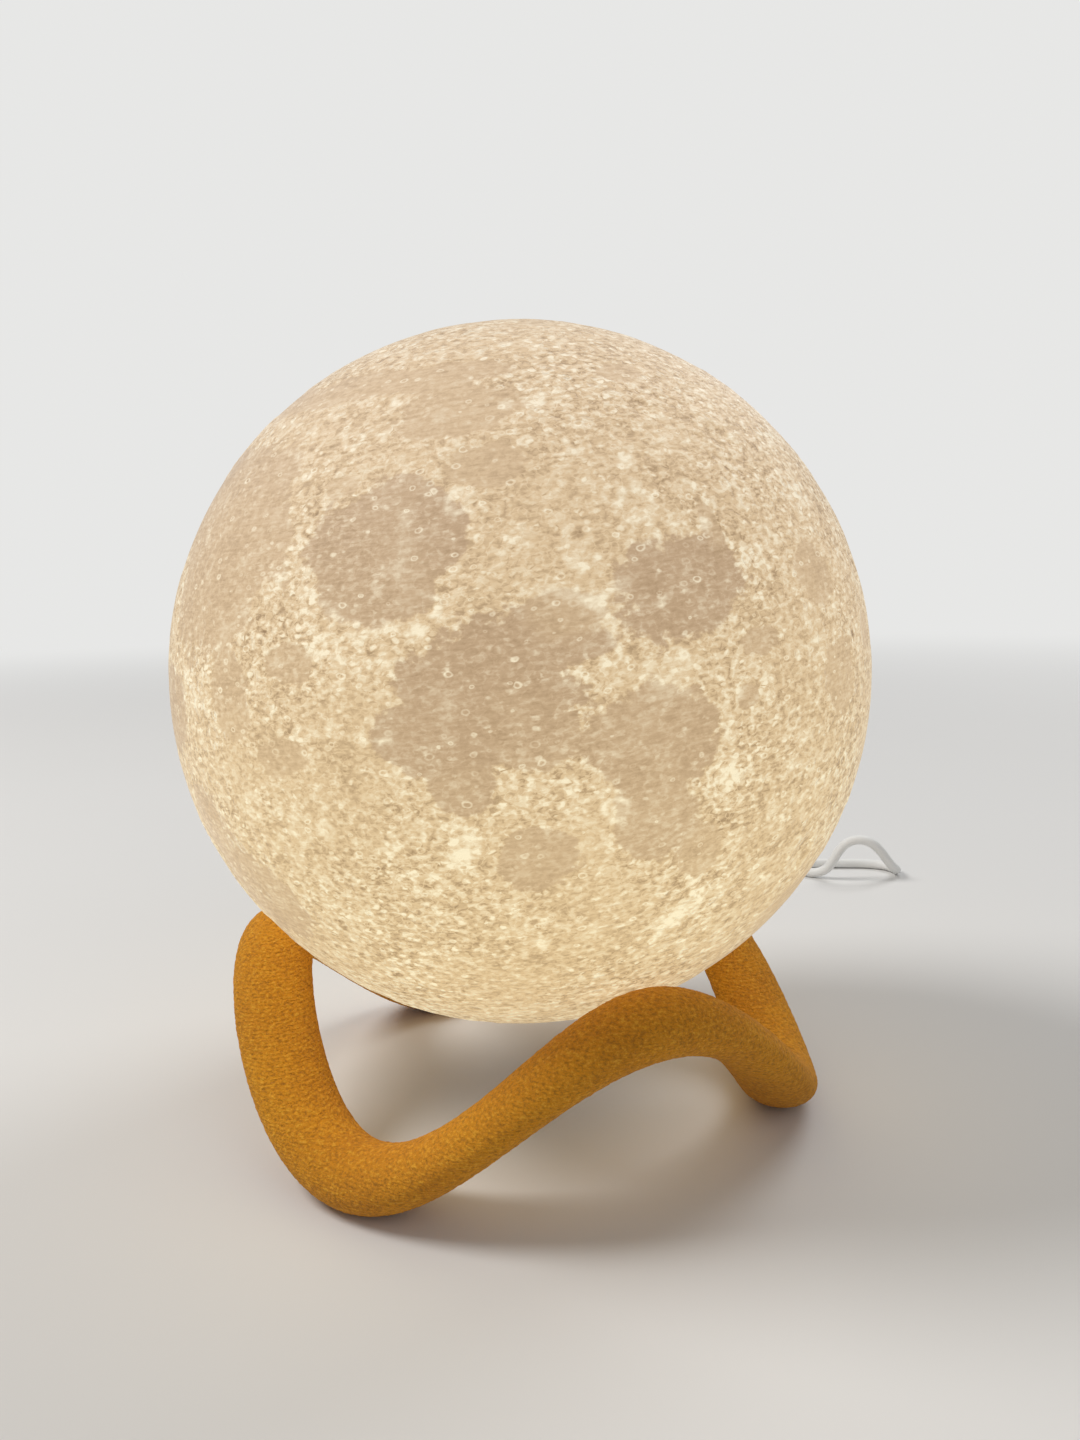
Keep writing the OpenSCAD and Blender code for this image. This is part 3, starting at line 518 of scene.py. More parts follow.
# bright spots: longitude, latitude, radius (degrees), brightness, and 1 for a ring
moonSpots = [
    (61.8, -9, 1.9, 0.4, 0), (24.1, 15.8, 0.9, 0.4, 0), (18, 3, 0.7, 0.4, 0), (11.1, 4.6, 0.9, 0.3, 0),
    (26.3, -11.1, 1.8, 0.3, 0), (24.2, -13.1, 1.3, 0.4, 0), (16.6, -10.5, 1.1, 0.35, 0),
    (20.5, -10.6, 0.7, 0.3, 0), (18.3, -1.6, 0.9, 0.25, 0), (9.8, 15.4, 1.5, 0.28, 0),
    (26.9, 17.5, 1, 0.3, 0), (37.4, 25.5, 0.9, 0.3, 0), (31.1, 32, 1.5, 0.34, 1),
    (17.9, 44.6, 1.1, 0.34, 0), (18.8, 50.5, 1.1, 0.34, 0), (41.5, 46.5, 1, 0.3, 0),
    (58, 34.3, 1.5, 0.36, 0), (57.7, 30.9, 1, 0.34, 0), (56.7, 27.7, 2.1, 0.3, 1),
    (66.1, 23.6, 1.1, 0.45, 0), (55.7, 14.5, 0.6, 0.5, 0), (46.5, 46.3, 0.9, 0.36, 1),
    (47.2, 21.4, 1.4, 0.28, 1), (32.8, -29.5, 1.3, 0.4, 0), (45.6, -9.9, 1.4, 0.4, 1),
    (64.8, 1.4, 0.9, 0.36, 0), (53, -30.3, 2.4, 0.22, 0), (56.6, -28, 1.6, 0.26, 0),
]

# bright ridges: points as longitude and latitude, then half width (degrees) and brightness
moonRidges = [
    ([(40.4, 18.9), (42.9, 18.3), (45.2, 17), (47.2, 15.9), (48.1, 14), (48.3, 11.5)], 0.6, 0.32),
    ([(47.2, 16), (49.1, 16.9), (51.3, 18.2)], 0.8, 0.3),
    ([(47, 8.7), (51.2, 6.1), (53.2, 4.4), (57, 3.2)], 0.7, 0.22),
    ([(8, 22.4), (12.4, 19.4), (16.3, 16.6), (21.9, 16.7), (24.5, 15.6)], 0.65, 0.26),
    ([(14.7, 39.4), (10.6, 35.3), (8.4, 31.8), (6.2, 27.3), (2.4, 23.7), (-5.5, 19.8),
      (-11.2, 16.3)], 0.7, 0.16),
    ([(51, -34), (53, -30.3), (56.6, -28)], 0.8, 0.26),
    ([(53, -30.3), (57.5, -26.1), (69.9, -24.9)], 0.8, 0.2),
    ([(54.3, 61.8), (45, 61.4), (38, 60)], 0.8, 0.22),
    ([(23.2, 31.7), (22.7, 27.7), (22, 23)], 0.7, 0.16), ([(19.7, 24.7), (18.5, 21)], 0.7, 0.18),
    ([(44.3, -2.8), (48.4, -2.2)], 0.6, 0.2),
]

mapLean = (4.6, 6.9, -89.5)    # how the map's own axes stand in the lamp, in degrees


def mapTurn():
    tilt, nod, heading = (math.radians(a) for a in mapLean)
    return np.array(Matrix.Rotation(heading, 3, "Z") @ Matrix.Rotation(nod, 3, "Y")
                    @ Matrix.Rotation(tilt, 3, "X"))


def direction(longitude, latitude):
    a, b = math.radians(longitude), math.radians(latitude)
    return np.array([math.cos(b) * math.cos(a), math.cos(b) * math.sin(a), math.sin(b)])


def smoothStep(low, high, value):
    share = np.clip((value - low) / (high - low), 0, 1)
    return share * share * (3 - 2 * share)


def latticeNoise(points, cell, seed):
    # smooth noise between -1 and 1 on a lattice of random values
    table = np.random.default_rng(seed).uniform(-1, 1, (32, 32, 32))
    place = points / cell
    corner = np.floor(place).astype(int)
    share = place - corner
    share = share * share * (3 - 2 * share)
    total = np.zeros(len(points))
    for dx in (0, 1):
        for dy in (0, 1):
            for dz in (0, 1):
                weight = (np.abs(1 - dx - share[:, 0]) * np.abs(1 - dy - share[:, 1])
                          * np.abs(1 - dz - share[:, 2]))
                total += weight * table[(corner[:, 0] + dx) % 32, (corner[:, 1] + dy) % 32,
                                        (corner[:, 2] + dz) % 32]
    return total


def fractalNoise(points, cell, seed, octaves=4):
    total = np.zeros(len(points))
    for octave in range(octaves):
        total += latticeNoise(points, cell / 2 ** octave, seed + octave) / 2 ** octave
    return total / 1.6


def plainMask(dirs):
    # how far a place lies inside the plains (0.5 at their edge), and how dark they are there
    edge = moonGlobe["plainEdge"] * fractalNoise(dirs, 0.16, 11, 5)
    clear = np.ones(len(dirs))
    total = np.full(len(dirs), 1e-6)
    darkness = np.zeros(len(dirs))
    for longitude, latitude, width, height, dark in moonPlains:
        centre = direction(longitude, latitude)
        east = np.array([-math.sin(math.radians(longitude)), math.cos(math.radians(longitude)), 0])
        north = np.cross(centre, east)
        across = np.degrees(np.arcsin(np.clip(dirs @ east, -1, 1))) / width
        upward = np.degrees(np.arcsin(np.clip(dirs @ north, -1, 1))) / height
        reach = np.sqrt(across ** 2 + upward ** 2) + edge
        inside = smoothStep(1.35, 0.65, reach) * (dirs @ centre > 0)
        clear *= 1 - inside
        weight = inside ** 2 * dark
        total += weight
        darkness += weight * dark
    return 1 - clear, darkness / total


def craterRelief(dirs, radius, mare):
    # height in metres and extra brightness of every crater
    rng = np.random.default_rng(moonGlobe["seed"])
    height = np.zeros(len(dirs))
    shine = np.zeros(len(dirs))
    craters = [(direction(c[0], c[1]), math.radians(c[2]), c[3]) for c in moonCraters]
    largest = math.radians(moonGlobe["largestCrater"])
    for _ in range(moonGlobe["smallCraters"]):
        spot = rng.normal(size=3)
        size = math.radians(moonGlobe["smallestCrater"]) * (1 - rng.random() * 0.93) ** -0.55
        craters.append((spot / np.linalg.norm(spot), min(size, largest), 0.35 + 0.5 * rng.random()))
    order = np.argsort([-c[1] for c in craters], kind="stable")
    for index in order:
        centre, span, share = craters[index]
        facing = dirs @ centre
        near = np.nonzero(facing > math.cos(span * 2.2))[0]
        if not len(near) or (index >= len(moonCraters) and mare[near[np.argmax(facing[near])]] > 0.45
                             and rng.random() < moonGlobe["plainSkips"]):
            continue
        reach = np.arccos(np.clip(facing[near], -1, 1)) / span
        size = span * radius
        depth = share * min(moonGlobe["craterDepth"] * size, moonGlobe["deepest"])
        floor = -depth * (1 - smoothStep(0.55, 1.0, reach))
        rim = 0.5 * depth * np.exp(-((reach - 1.04) / 0.2) ** 2)
        peak = 0.45 * depth * np.exp(-(reach / 0.16) ** 2) * (size > 1.6 * mm) * (share > 0.7)
        height[near] += floor + rim + peak
        shine[near] += share * (0.2 * np.exp(-((reach - 1.02) / 0.17) ** 2) - 0.05 * (reach < 0.8)
                                + (0.22 * np.exp(-(reach / 0.5) ** 2) if size < 1.3 * mm else 0)
                                + 0.16 * np.exp(-(reach / 0.18) ** 2) * (peak > 0))
    return height, shine


def rayShine(dirs):
    shine = np.zeros(len(dirs))
    for number, (longitude, latitude, reach, gain) in enumerate(moonRays):
        centre = direction(longitude, latitude)
        side = np.cross(centre, [0.3, 0.2, 0.9])
        side /= np.linalg.norm(side)
        away = np.degrees(np.arccos(np.clip(dirs @ centre, -1, 1)))
        angle = np.arctan2(dirs @ np.cross(centre, side), dirs @ side)
        ring = np.stack([np.cos(angle), np.sin(angle), np.full(len(dirs), 0.1 * number)], 1)
        streak = np.clip(0.25 + 1.1 * fractalNoise(ring, 0.35, 50 + number, 3), 0, 1.4)
        fade = np.exp(-away / (0.38 * reach)) * smoothStep(1.15 * reach, 0.75 * reach, away)
        shine += gain * (streak * fade * 2 + 1.2 * np.exp(-(away / (0.11 * reach)) ** 2))
    return shine


def spotShine(dirs):
    shine = np.zeros(len(dirs))
    for longitude, latitude, size, gain, ring in moonSpots:
        away = np.degrees(np.arccos(np.clip(dirs @ direction(longitude, latitude), -1, 1)))
        if ring:
            shine += gain * (np.exp(-((away - size) / 0.5) ** 2) + 0.5 * np.exp(-(away / 0.5) ** 2))
        else:
            shine += gain * smoothStep(1.25 * size, 0.6 * size, away)
    for points, width, gain in moonRidges:
        line = [direction(*point) for point in points]
        nearest = np.full(len(dirs), 9.0)
        for start, end in zip(line[:-1], line[1:]):
            run = end - start
            share = np.clip((dirs - start) @ run / (run @ run), 0, 1)
            nearest = np.minimum(nearest, np.linalg.norm(dirs - start - share[:, None] * run, axis=1))
        shine += gain * np.exp(-(np.degrees(nearest) / width) ** 2)
    return shine


def cubeSphere(segments):
    # unit vectors and quads of a cube blown up to a sphere, with even squares
    steps = np.tan(np.linspace(-math.pi / 4, math.pi / 4, segments + 1))
    u, v = np.meshgrid(steps, steps, indexing="ij")
    one = np.ones_like(u)
    sides = [(one, u, v), (-one, v, u), (v, one, u), (u, -one, v), (u, v, one), (v, u, -one)]
    points, quads = [], []
    for number, side in enumerate(sides):
        grid = np.stack(side, -1).reshape(-1, 3)
        points.append(grid / np.linalg.norm(grid, axis=1)[:, None])
        i, j = np.meshgrid(np.arange(segments), np.arange(segments), indexing="ij")
        a = (number * (segments + 1) ** 2 + i * (segments + 1) + j).ravel()
        quads.append(np.stack([a, a + segments + 1, a + segments + 2, a + 1], 1))
    points = np.concatenate(points)
    quads = np.concatenate(quads)
    keys = np.round(points * 1e6).astype(np.int64)
    _, first, back = np.unique(keys, axis=0, return_index=True, return_inverse=True)
    return points[first], back.ravel()[quads]


def neckGrid(points, ringNumber, angle, neckAngle, rings, neckRing):
    # points of the cube's lower side, moved from square rings onto round ones near the neck
    share = (ringNumber - neckRing) / (rings - neckRing)
    lastRound = math.radians(50)
    polar = neckAngle + (lastRound - neckAngle) * share
    circle = np.stack([np.sin(polar) * np.cos(angle), np.sin(polar) * np.sin(angle), -np.cos(polar)], 1)
    weight = smoothStep(0, 1, share)[:, None]
    mixed = circle * (1 - weight) + points * weight
    return mixed / np.linalg.norm(mixed, axis=1)[:, None]


def openSphere(segments, neckAngle):
    # the sphere without its neck: unit vectors, quads, and the loop of points round the neck in order
    points, quads = cubeSphere(segments)
    lower = points[:, 2] < -1e-6
    scale = np.where(lower, -points[:, 2], 1)
    a = np.where(lower, np.arctan(points[:, 0] / scale), 9) / (math.pi / 4)
    b = np.where(lower, np.arctan(points[:, 1] / scale), 9) / (math.pi / 4)
    reach = np.maximum(np.abs(a), np.abs(b))
    inside = lower & (reach <= 1 + 1e-6)
    rings = segments // 2
    ringNumber = np.where(inside, np.round(reach * rings), rings + 1).astype(int)
    neckRing = round(neckAngle / (math.pi / 4) * rings)
    onFace = np.nonzero(inside)[0]
    safe = np.maximum(reach[onFace], 1e-9)
    sideways = np.abs(a[onFace]) >= np.abs(b[onFace]) - 1e-9
    angle = np.where(sideways, np.where(a[onFace] > 0, 0, math.pi)
                     + math.pi / 4 * b[onFace] / safe * np.where(a[onFace] > 0, 1, -1),
                     np.where(b[onFace] > 0, math.pi / 2, -math.pi / 2)
                     - math.pi / 4 * a[onFace] / safe * np.where(b[onFace] > 0, 1, -1))
    points[onFace] = neckGrid(points[onFace], ringNumber[onFace], angle, neckAngle, rings, neckRing)
    quads = quads[(ringNumber[quads] >= neckRing).all(1)]
    used, back = np.unique(quads, return_inverse=True)
    points, quads, ringNumber = points[used], back.reshape(quads.shape), ringNumber[used]
    loop = np.nonzero(ringNumber == neckRing)[0]
    loop = loop[np.argsort(np.arctan2(points[loop, 1], points[loop, 0]))]
    return points, quads, loop


def moonSurface(onMap, radius):
    # height over the mean surface, and what the material reads at each point
    inside, darkness = plainMask(onMap)
    mare = smoothStep(0.35, 0.65, inside)
    height, shine = craterRelief(onMap, radius, mare)
    rough = fractalNoise(onMap, 0.11, 31) * (1 - 0.85 * mare)
    height = height * (1 - 0.35 * mare) + rough * moonGlobe["swell"] - mare * moonGlobe["plainDrop"]
    height = np.minimum(height, moonGlobe["relief"] - moonGlobe["underOutline"])
    shine = shine * (1 - 0.3 * mare) + rayShine(onMap) + spotShine(onMap) + 0.05 * rough
    return height, {"inside": inside, "darkness": darkness, "shine": shine}


def innerWall(rim, centre, neck, radius):
    # rings of points up the plain inner wall, then its pole
    around = np.arctan2(rim[:, 1], rim[:, 0])
    startAngle = math.asin(neck / radius)
    rings = moonGlobe["innerRings"]
    points = []
    for step in range(rings):
        polar = startAngle + (math.pi - startAngle) * step / rings
        points.append(centre + radius * np.stack(
            [math.sin(polar) * np.cos(around), math.sin(polar) * np.sin(around),
             np.full(len(rim), -math.cos(polar))], 1))
    return points + [centre[None] + [[0, 0, radius]]]


def wallFaces(rows, pole):
    faces = []
    for lower, upper in zip(rows[:-1], rows[1:]):
        for i in range(len(lower)):
            j = (i + 1) % len(lower)
            faces.append((lower[i], lower[j], upper[j], upper[i]))
    last = rows[-1]
    for i in range(len(last)):
        faces.append((last[i], last[(i + 1) % len(last)], pole))
    return faces


def buildGlobe(material):
    low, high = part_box("moon_shell")
    radius = round((high.x - low.x) / mm) * mm / 2
    centre = np.array([0, 0, high.z - radius])
    neck = moonGlobe["neck"] / 2
    dirs, quads, loop = openSphere(moonGlobe["segments"], math.asin(neck / radius))
    turn = mapTurn()
    height, marks = moonSurface(dirs @ turn, radius)
    away = np.abs(np.hypot(dirs[:, 0], dirs[:, 1]) * radius - neck) / moonGlobe["plainRim"]
    height *= smoothStep(0, 1, away) * (dirs[:, 2] < 0) + (dirs[:, 2] >= 0)
    outer = centre + dirs * (radius - moonGlobe["relief"] + height)[:, None]
    # the neck's edge is upright
    rim = outer[loop].copy()
    rim[:, :2] *= (neck / np.hypot(rim[:, 0], rim[:, 1]))[:, None]
    outer[loop] = rim
    points = np.concatenate([outer] + innerWall(rim, centre, neck, radius - moonGlobe["wall"]))
    rows = [loop]
    for step in range(moonGlobe["innerRings"]):
        rows.append(len(outer) + step * len(loop) + np.arange(len(loop)))
    faces = [tuple(q) for q in quads] + wallFaces(rows, len(points) - 1)
    piece = newMesh("moon_globe", points, faces, material)
    unmarked = np.zeros(len(points) - len(outer))
    for name, values in marks.items():
        setAttribute(piece.data, name, "FLOAT", np.concatenate([values, unmarked]))
    setAttribute(piece.data, "onMap", "FLOAT_VECTOR", (points - centre) @ turn)
    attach(piece, "moon")
    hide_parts("moon_shell")
    print("globe ready,", len(faces), "faces")


def newMesh(name, points, faces, material):
    mesh = bpy.data.meshes.new(name)
    mesh.from_pydata([tuple(p) for p in points], [], [tuple(int(v) for v in f) for f in faces])
    mesh.update()
    shell = bmesh.new()
    shell.from_mesh(mesh)
    bmesh.ops.recalc_face_normals(shell, faces=shell.faces)
    shell.to_mesh(mesh)
    shell.free()
    mesh.polygons.foreach_set("use_smooth", [True] * len(mesh.polygons))
    mesh.materials.append(material)
    return addObject(name, mesh)


def setAttribute(mesh, name, kind, values):
    layer = mesh.attributes.new(name, kind, "POINT")
    layer.data.foreach_set("vector" if kind == "FLOAT_VECTOR" else "value",
                           np.asarray(values, dtype=np.float32).ravel())


def readAttribute(tree, name, output="Fac"):
    return addNode(tree, "ShaderNodeAttribute", attribute_name=name).outputs[output]


def buildRidges():
    # worm-like ridges: bright where noise crosses its middle
    group, start, end = newGroup("ridges", {"Vector": None, "Size": 1.5, "Thickness": 0.06}, ["Mask"])
    field = noise(group, start["Vector"], perMetre(group, start["Size"]), 2.0, 0.5)
    away = maths(group, "ABSOLUTE", centred(group, field))
    share = maths(group, "DIVIDE", away, start["Thickness"])
    setInputs(group, end, {"Mask": ramp(group, share, 0.2, 1.0, 1.0, 0.0)})
    return group


def buildPebbles():
    # rounded grains, each as bright as chance has it, with dark seams between them
    group, start, end = newGroup("pebbles", {"Vector": None, "Size": 1.6}, ["Bead", "Seam"])
    scale = perMetre(group, start["Size"])
    place = warped(group, start["Vector"], scale, maths(group, "MULTIPLY", start["Size"], 0.0012))
    cells = addNode(group, "ShaderNodeTexVoronoi", {"Vector": place, "Scale": scale}).outputs
    edges = addNode(group, "ShaderNodeTexVoronoi", {"Vector": place, "Scale": scale},
                    feature="DISTANCE_TO_EDGE").outputs["Distance"]
    chance = addNode(group, "ShaderNodeSeparateColor", {"Color": cells["Color"]}).outputs[0]
    rounded = ramp(group, cells["Distance"], 0.16, 0.46, 1.0, 0.0)
    bead = maths(group, "MULTIPLY", maths(group, "MULTIPLY", rounded, ramp(group, edges, 0.02, 0.2)),
                 ramp(group, chance, 0.3, 1.0))
    setInputs(group, end, {"Bead": bead, "Seam": ramp(group, edges, 0.02, 0.16, 1.0, 0.0)})
    return group


# the skin of the print: sizes in millimetres, and how much each mark adds to the tone
moonSkin = {
    "grainSize": 1.7,
    "grainGain": 0.36,
    "grainShadow": -0.1,
    "beadSize": 1.9,
    "beadGain": 0.74,
    "seamGain": -0.19,
    "bowlCell": 4.6,
    "bowlGain": 0.36,
    "dotCell": 2.9,
    "dotGain": 0.42,
    "ringCell": 7.0,
    "ringOnLand": 0.19,
    "ringOnPlain": 0.04,
    "wormSize": 2.4,
    "wormGain": 0.24,
    "fineSize": 0.8,
    "fineGain": 0.2,
    "lineHeight": 0.45,
    "lineRun": 3.5,
    "lineGain": 0.3,
    "cloudGain": 0.4,
    "shineGain": 2.0,
    "tone": 0.41,           # of bare print
    "middleTone": 0.45,     # where the tone is the plains' or the land's own colour
    "brightTone": 1.1,
    "flatten": (1, 1, 1.5),
}


def moonMarks(tree, onMap, flat):
    skin = moonSkin
    return {
        "bowls": useGroup(tree, craterField, {"Vector": onMap, "Cell": skin["bowlCell"], "Smallest": 0.14,
                                              "Largest": 0.4}),
        "dots": useGroup(tree, craterField, {"Vector": flat, "Cell": skin["dotCell"], "Smallest": 0.12,
                                             "Largest": 0.26}),
        "rings": useGroup(tree, craterField, {"Vector": onMap, "Cell": skin["ringCell"], "Smallest": 0.14,
                                              "Largest": 0.34}),
        "beads": useGroup(tree, buildPebbles(), {"Vector": flat, "Size": skin["beadSize"]}),
        "worms": useGroup(tree, buildRidges(), {"Vector": flat, "Size": skin["wormSize"],
                                                "Thickness": 0.05}),
        "lines": useGroup(tree, printLines, {"Vector": onMap, "Line Height": skin["lineHeight"],
                                             "Line Run": skin["lineRun"]}),
        "fine": noise(tree, flat, 1000 / skin["fineSize"], 2.0, 0.6),
        "grains": noise(tree, flat, 1000 / skin["grainSize"], 1.5, 0.5),
        "cloud": noise(tree, onMap, 95.0, 5.0, 0.6),
    }


def moonTone(tree, marks, plain, rugged):
    # from 0 at the darkest spots to 1 and more at the brightest
    skin = moonSkin
    grains = marks["grains"]
    seams = maths(tree, "MULTIPLY", marks["beads"]["Seam"], ramp(tree, grains, 0.42, 0.56, 1.0, 0.2))
    lit = addWeighted(
        tree, 0.0,
        (ramp(tree, grains, 0.53, 0.64), skin["grainGain"]),
        (marks["beads"]["Bead"], skin["beadGain"]),
        (marks["bowls"]["Shine"], skin["bowlGain"]),
        (marks["worms"]["Mask"], skin["wormGain"]),
        (seams, skin["seamGain"]),
        (ramp(tree, grains, 0.48, 0.34), skin["grainShadow"]))
    onLand = ramp(tree, plain, 0.0, 1.0, skin["ringOnLand"], skin["ringOnPlain"], "LINEAR")
    return addWeighted(
        tree, skin["tone"],
        (lit, rugged),
        (marks["dots"]["Shine"], skin["dotGain"]),
        (marks["rings"]["Height"], onLand),
        (centred(tree, marks["fine"]), skin["fineGain"]),
        (readAttribute(tree, "shine"), maths(tree, "MULTIPLY", grains, skin["shineGain"])),
        (centred(tree, marks["lines"]["Height"]), skin["lineGain"]),
        (centred(tree, marks["cloud"]), skin["cloudGain"]))


def moonColour(tree, tone, mare, coords):
    middle = mixColour(tree, mare, moonTones["land"], moonTones["plain"])
    fromDark = ramp(tree, tone, 0.0, moonSkin["middleTone"], kind="LINEAR")
    toBright = ramp(tree, tone, moonSkin["middleTone"], moonSkin["brightTone"], kind="LINEAR")
    colour = mixColour(tree, fromDark, moonTones["dark"], middle)
    colour = mixColour(tree, toBright, colour, moonTones["bright"])
    # painted light and shade: the colour is brightened and warmed toward the bottom and darkened and
    # cooled toward the top, by height alone
    height = addNode(tree, "ShaderNodeSeparateXYZ", {0: coords}).outputs["Z"]
    upward = ramp(tree, height, 30 * mm, 165 * mm)
    tint = mixColour(tree, upward, moonTones["paintedLowGlow"], moonTones["paintedTopShade"])
    return mixColour(tree, 1.0, colour, tint, "MULTIPLY")


def moonMaterial():
    material, tree, shader, coords = newMaterial(
        "moonPrint", Roughness=0.72, Emission_Strength=moonTones["lampShare"], Sheen_Weight=0.4,
        Sheen_Roughness=0.3)
    onMap = readAttribute(tree, "onMap", "Vector")
    marks = moonMarks(tree, onMap, scaled(tree, onMap, moonSkin["flatten"]))
    # plains have a ragged edge and calmer marks than the land
    ragged = noise(tree, onMap, 130.0, 5.0, 0.68)
    edge = addWeighted(tree, readAttribute(tree, "inside"), (centred(tree, ragged), 2.2),
                       (centred(tree, marks["grains"]), -0.6))
    plain = ramp(tree, edge, 0.36, 0.64)
    rugged = maths(tree, "MULTIPLY", ramp(tree, plain, 0.0, 1.0, 0.8, 0.3, "LINEAR"),
                   ramp(tree, noise(tree, onMap, 32.0), 0.34, 0.62, 0.62, 1.15))
    mare = maths(tree, "MULTIPLY", plain, readAttribute(tree, "darkness"))
    colour = moonColour(tree, moonTone(tree, marks, plain, rugged), mare, coords)
    lines = marks["lines"]["Height"]
    rest = 1 - moonTones["lampShare"]
    setInputs(tree, shader, {
        "Emission Color": colour,
        "Base Color": mixColour(tree, 1.0, colour, (rest, rest, rest, 1), "MULTIPLY"),
        "Roughness": ramp(tree, lines, 0.3, 0.7, 0.8, 0.62)})
    relief = addWeighted(tree, marks["bowls"]["Height"], (marks["dots"]["Height"], 0.4),
                         (marks["grains"], 1.4), (marks["beads"]["Seam"], -0.5))
    relief = addWeighted(tree, maths(tree, "MULTIPLY", relief, rugged), (lines, 0.4))
    bumped(tree, shader, relief, 0.8, 0.25 * mm)
    return material


# stand: a bar that follows a rule, so nodes build it

ringStand = {
    "Ring Radius": 57 * mm,
    "Bar Width": 17 * mm,
    "Bar Height": 12.4 * mm,
    "Wave Height": 31.6 * mm,
    "Waves": 3,
    "Crest Angle": 90.0,
    "Foot Flat": 0.5 * mm,
    "Fuzz": 0.13 * mm,         # how far the skin's grains stand out or in
    "Grain Size": 1.15 * mm,
    "Steps Round": 880,
    "Steps Across": 104,
}
feltFlatten = (1, 1, 1.4)      # its grains are wider than high


def ringTree(material):
    tree = bpy.data.node_groups.new("ringStand", "GeometryNodeTree")
    kinds = {int: "NodeSocketInt", float: "NodeSocketFloat"}
    tree.interface.new_socket("Geometry", in_out="INPUT", socket_type="NodeSocketGeometry")
    for label, value in ringStand.items():
        socket = tree.interface.new_socket(label, in_out="INPUT", socket_type=kinds[type(value)])
        socket.default_value = value
    tree.interface.new_socket("Geometry", in_out="OUTPUT", socket_type="NodeSocketGeometry")
    start = tree.nodes.new("NodeGroupInput").outputs
    end = tree.nodes.new("NodeGroupOutput")
    grid = addNode(tree, "GeometryNodeMeshGrid", {"Size X": 1.0, "Size Y": 1.0,
                   "Vertices X": start["Steps Round"], "Vertices Y": start["Steps Across"]})
    onGrid = tree.nodes.new("GeometryNodeInputPosition").outputs[0]
    place = addNode(tree, "ShaderNodeSeparateXYZ", {0: onGrid})
    turn = maths(tree, "MULTIPLY", place.outputs["X"], 2 * math.pi)
    section = maths(tree, "MULTIPLY", place.outputs["Y"], 2 * math.pi)
    radius = maths(tree, "MULTIPLY_ADD", maths(tree, "COSINE", section),
                   maths(tree, "MULTIPLY", start["Bar Width"], 0.5), start["Ring Radius"])
    crest = maths(tree, "RADIANS", start["Crest Angle"])
    phase = maths(tree, "MULTIPLY", maths(tree, "SUBTRACT", turn, crest), start["Waves"])
    rise = maths(tree, "MULTIPLY", maths(tree, "ADD", maths(tree, "COSINE", phase), 1.0),
                 maths(tree, "MULTIPLY", start["Wave Height"], 0.5))
    upward = maths(tree, "MULTIPLY_ADD", maths(tree, "ADD", maths(tree, "SINE", section), 1.0),
                   maths(tree, "MULTIPLY", start["Bar Height"], 0.5), rise)
    flat = maths(tree, "SUBTRACT", maths(tree, "MAXIMUM", upward, start["Foot Flat"]), start["Foot Flat"])
    ring = addNode(tree, "ShaderNodeCombineXYZ", {
        "X": maths(tree, "MULTIPLY", radius, maths(tree, "COSINE", turn)),
        "Y": maths(tree, "MULTIPLY", radius, maths(tree, "SINE", turn)), "Z": flat})
    bent = addNode(tree, "GeometryNodeSetPosition", {"Geometry": grid.outputs["Mesh"],
                   "Position": ring.outputs[0]})
    closed = addNode(tree, "GeometryNodeMergeByDistance", {"Geometry": bent.outputs[0],
                     "Distance": 0.01 * mm})
    # felt: grains of noise along the normal, none under the feet
    here = tree.nodes.new("GeometryNodeInputPosition").outputs[0]
    normal = tree.nodes.new("GeometryNodeInputNormal").outputs[0]
    scale = maths(tree, "DIVIDE", 1.0, start["Grain Size"])
    grain = noise(tree, vectorMaths(tree, "MULTIPLY", here, feltFlatten), scale, 2.0, 0.6)
    height = addNode(tree, "ShaderNodeSeparateXYZ", {0: here}).outputs["Z"]
    clear = ramp(tree, height, 0.0, 0.6 * mm)
    push = maths(tree, "MULTIPLY", maths(tree, "MULTIPLY", maths(tree, "SUBTRACT", grain, 0.54), 4.0),
                 maths(tree, "MULTIPLY", start["Fuzz"], clear))
    offset = vectorMaths(tree, "SCALE", normal, push)
    felt = addNode(tree, "GeometryNodeSetPosition", {"Geometry": closed.outputs[0], "Offset": offset})
    smooth = addNode(tree, "GeometryNodeSetShadeSmooth", {"Geometry": felt.outputs[0]})
    real = addNode(tree, "GeometryNodeRealizeInstances", {"Geometry": smooth.outputs[0]})
    dressed = addNode(tree, "GeometryNodeSetMaterial", {"Geometry": real.outputs[0], "Material": material})
    tree.links.new(dressed.outputs[0], end.inputs["Geometry"])
    return tree


def buildStand(material):
    tree = ringTree(material)
    host = addObject("ringHost", bpy.data.meshes.new("ringHost"))
    nodes = host.modifiers.new("ringStand", "NODES")
    nodes.node_group = tree
    for item in tree.interface.items_tree:
        if item.in_out == "INPUT" and item.name in ringStand:
            nodes[item.identifier] = ringStand[item.name]
    graph = bpy.context.evaluated_depsgraph_get()
    mesh = bpy.data.meshes.new_from_object(host.evaluated_get(graph))
    bpy.data.objects.remove(host)
    mesh.name = "ring_stand"
    solid = sum(f.area * f.normal.dot(f.center - Vector((0, 0, 0.02))) for f in mesh.polygons)
    if solid < 0:
        mesh.flip_normals()
    piece = addObject("ring_stand", mesh)
    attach(piece, "root")
    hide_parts("stand_ring")
    print("stand ready,", len(mesh.polygons), "faces")


feltColours = {
    # body and second are the felt's own tones; the tip colour is a painted highlight on the grain tops,
    # the pit colour painted shade in the hollows
    "body": rgb(222, 148, 14),
    "second": rgb(210, 136, 10),
    "paintedTipHighlight": rgb(238, 178, 52),
    "paintedPitShade": rgb(122, 76, 12),
}


